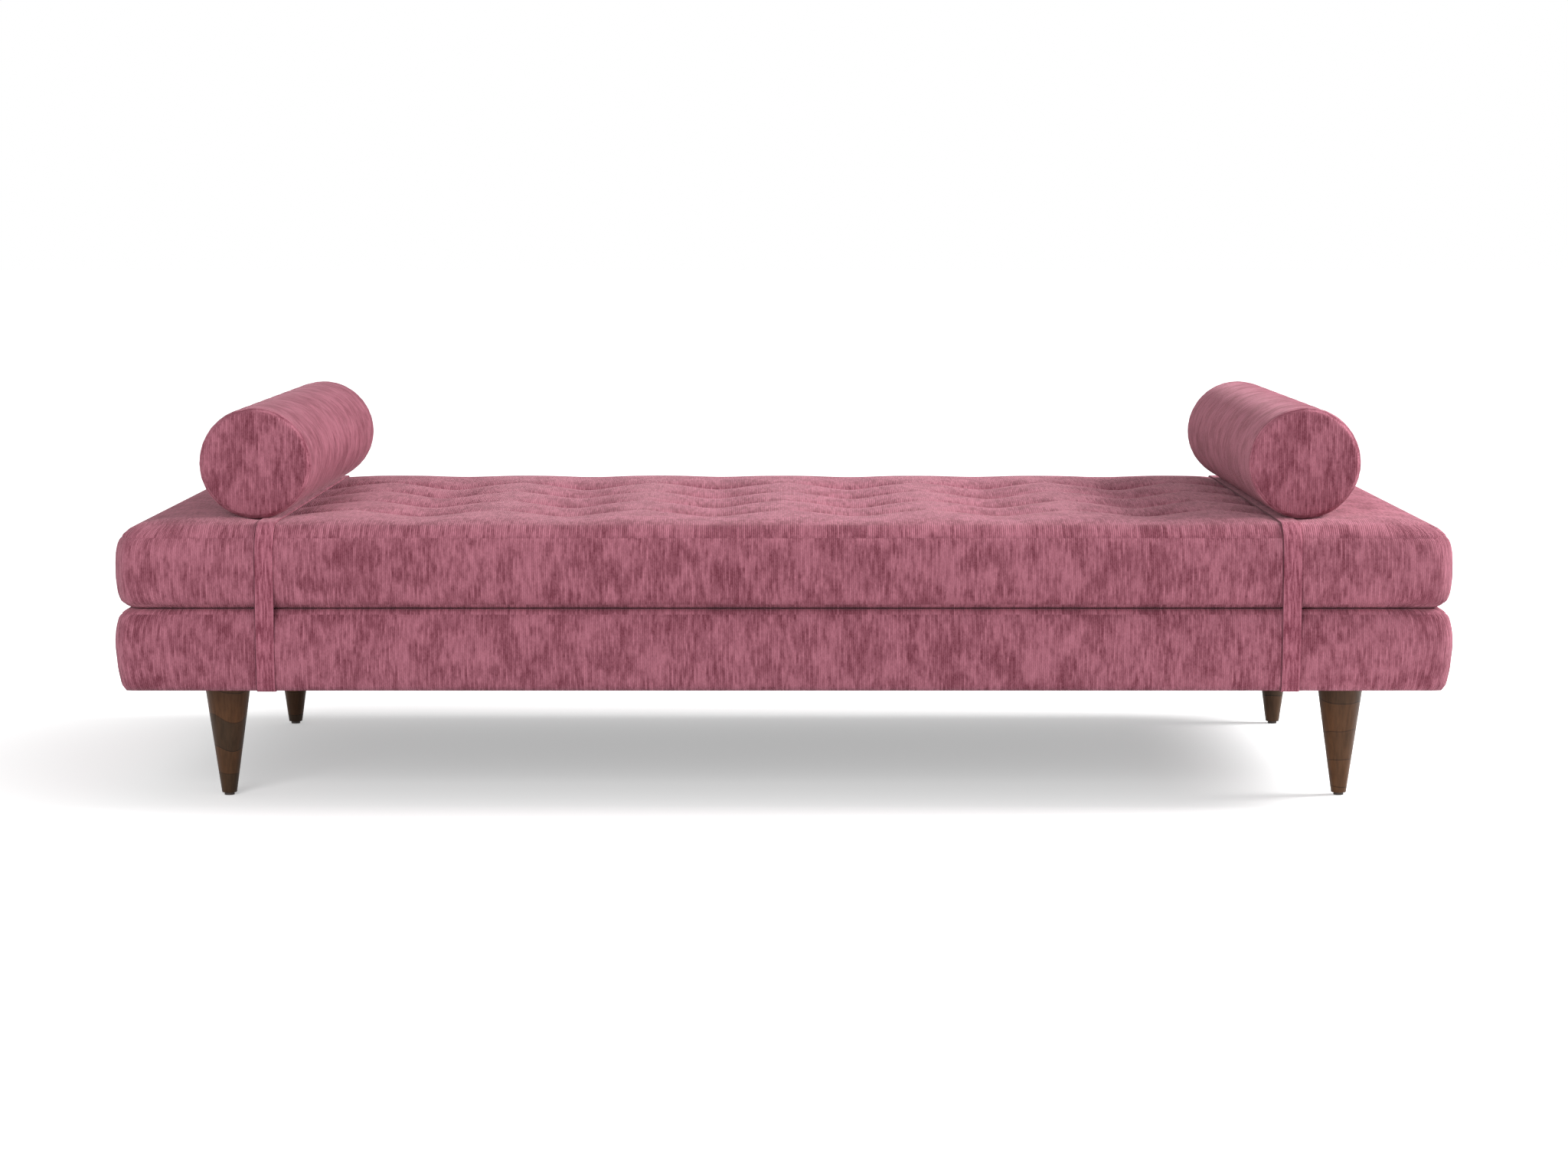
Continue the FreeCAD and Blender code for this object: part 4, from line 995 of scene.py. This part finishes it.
def slider_mesh(name, matrix, size, body, node):
    """A slider: a plate with a raised bridge."""
    mesh_maker = bmesh.new()
    plate = bmesh.ops.create_cube(mesh_maker, size=1.0)["verts"]
    bmesh.ops.scale(mesh_maker, verts=plate, vec=size)
    bridge = bmesh.ops.create_cube(mesh_maker, size=1.0)["verts"]
    bmesh.ops.scale(mesh_maker, verts=bridge, vec=(size[0] * 0.28, size[1] * 0.7, size[2] * 0.5))
    bmesh.ops.translate(mesh_maker, verts=bridge, vec=(0, 0, size[2] * 0.7))
    bmesh.ops.bevel(mesh_maker, geom=mesh_maker.edges, offset=0.0004, affect="EDGES", segments=2,
                    profile=0.5, material=-1)
    bmesh.ops.transform(mesh_maker, verts=mesh_maker.verts, matrix=matrix)
    obj = to_object(name, mesh_maker, zip_metal, body)
    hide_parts(node)
    return obj


def zip_set(name, origin, turn, length, body):
    """Tape, teeth and slider from the middle of a zip, with its face turned to a direction."""
    place = Matrix.Translation(origin) @ turn
    tape = (place @ Matrix.Translation((0, 0, 0.0001)), (TAPE_WIDTH, length, TAPE_WALL))
    slant = Matrix.Rotation(TOOTH_SLANT, 4, "Z")
    teeth = []
    for number in range(int(length / TOOTH_PITCH)):
        along = -length / 2 + TOOTH_PITCH * (number + 0.5)
        side = TOOTH_OFFSET if number % 2 else -TOOTH_OFFSET
        teeth.append((place @ Matrix.Translation((side, along, TOOTH_HEIGHT)) @ slant, TOOTH_SIZE))
    zip_piece = teeth_and_tape(f"{name}_tape_and_teeth", tape, teeth, body, name)
    slider_place = place @ Matrix.Translation((0, -length / 2 + 0.006, 0.0021))
    slider = slider_mesh(f"{name}_pull", slider_place, SLIDER_SIZE, f"{name}_slider", f"{name}_slider")
    return zip_piece, slider


zip_low, zip_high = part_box("mattress_zip")
zip_middle = Vector((HALF_LENGTH - 0.0022, 0.0, (zip_low[2] + zip_high[2]) / 2))
zip_set("mattress_zip", zip_middle, Matrix.Rotation(math.radians(86), 4, "Y"), zip_high[1] - zip_low[1],
        "mattress")
for side in SIDES:
    low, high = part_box(f"bolster_{side}_zip")
    angle = OUTWARD[side] * math.radians(135)
    away = Vector((math.sin(angle), 0, math.cos(angle))) * (BOLSTER_RADIUS - 0.0002)
    spot = Vector((BOLSTER_X[side], 0, ROLL_Z)) + away
    pieces = zip_set(f"bolster_{side}_zip", spot, Matrix.Rotation(angle, 4, "Y"), high[1] - low[1],
                     f"bolster_{side}")
    for piece in pieces:
        lean_out(piece.data.vertices, side)

# %% [markdown]
# The studio is a white floor under an even sky, with one large soft lamp from the upper right and
# a weak one from the left.  Where the camera sees bare floor or sky it sees white, and the floor
# keeps the shadow under the bed, deepened by a painted shade: its glow is weaker near the bed.


# %% Floor and sky
PAINTED_SHADE_POOL = (0.52, 0.72, 0.0)


def seen_by_camera(tree):
    """1 where the camera looks, straight or in a reflection, and 0 for all other light."""
    path = add(tree, "ShaderNodeLightPath")
    return reckon(tree, "MAXIMUM", path.outputs["Is Camera Ray"], path.outputs["Is Glossy Ray"])


def make_floor():
    """A wide white floor that shows the cast shadow, with a painted shade near the bed where its glow is
    weaker, and otherwise reads as white.
    """
    material, tree, shader = new_material("studio_floor")
    shader.inputs["Roughness"].default_value = 0.9
    shader.inputs["Specular IOR Level"].default_value = 0.0
    seen = seen_by_camera(tree)
    paint = blend_colour(tree, seen, (0.82, 0.82, 0.82, 1), (1, 1, 1, 1))
    tree.links.new(paint, shader.inputs["Base Color"])
    where = add(tree, "ShaderNodeTexCoord").outputs["Object"]
    # Painted shade: for the camera the floor glows less near the bed than away from it.
    far = add(tree, "ShaderNodeVectorMath", {0: stretch(tree, where, PAINTED_SHADE_POOL)}, operation="LENGTH")
    camera_glow_with_painted_shade = remap(tree, far.outputs["Value"], 0.55, 1.05, 0.40, 0.85, smooth=True)
    glow = add(tree, "ShaderNodeEmission", {"Color": (1, 1, 1, 1)})
    tree.links.new(reckon(tree, "MULTIPLY", seen, camera_glow_with_painted_shade), glow.inputs["Strength"])
    both = add(tree, "ShaderNodeAddShader", {0: shader.outputs[0], 1: glow.outputs[0]})
    tree.links.new(both.outputs[0], tree.nodes["Material Output"].inputs["Surface"])
    mesh_maker = bmesh.new()
    bmesh.ops.create_grid(mesh_maker, x_segments=1, y_segments=1, size=40.0)
    mesh = bpy.data.meshes.new("floor")
    mesh_maker.to_mesh(mesh)
    mesh_maker.free()
    mesh.materials.append(material)
    floor = bpy.data.objects.new("floor", mesh)
    scene.collection.objects.link(floor)


def make_sky(level):
    """An even light all round, seen by the camera as white."""
    world = bpy.data.worlds.new("sky")
    world.use_nodes = True
    scene.world = world
    tree = world.node_tree
    sky = tree.nodes["Background"]
    seen = seen_by_camera(tree)
    sky.inputs["Color"].default_value = (1, 1, 1, 1)
    tree.links.new(remap(tree, seen, 0.0, 1.0, level, 1.0), sky.inputs["Strength"])


def make_lamp(name, place, aim, size, power):
    """A large soft lamp turned to a point."""
    data = bpy.data.lights.new(name, "AREA")
    data.shape = "DISK"
    data.size = size
    data.energy = power
    lamp = bpy.data.objects.new(name, data)
    lamp.location = place
    lamp.rotation_mode = "QUATERNION"
    lamp.rotation_quaternion = (Vector(aim) - Vector(place)).to_track_quat("-Z", "Y")
    scene.collection.objects.link(lamp)


make_floor()
make_sky(level=0.41)
make_lamp("key", place=(3.9, 0.3, 2.5), aim=(0.2, 0.0, 0.3), size=2.0, power=245.0)
make_lamp("fill", place=(-1.8, -5.0, 2.2), aim=(0.0, 0.0, 0.3), size=3.0, power=118.0)
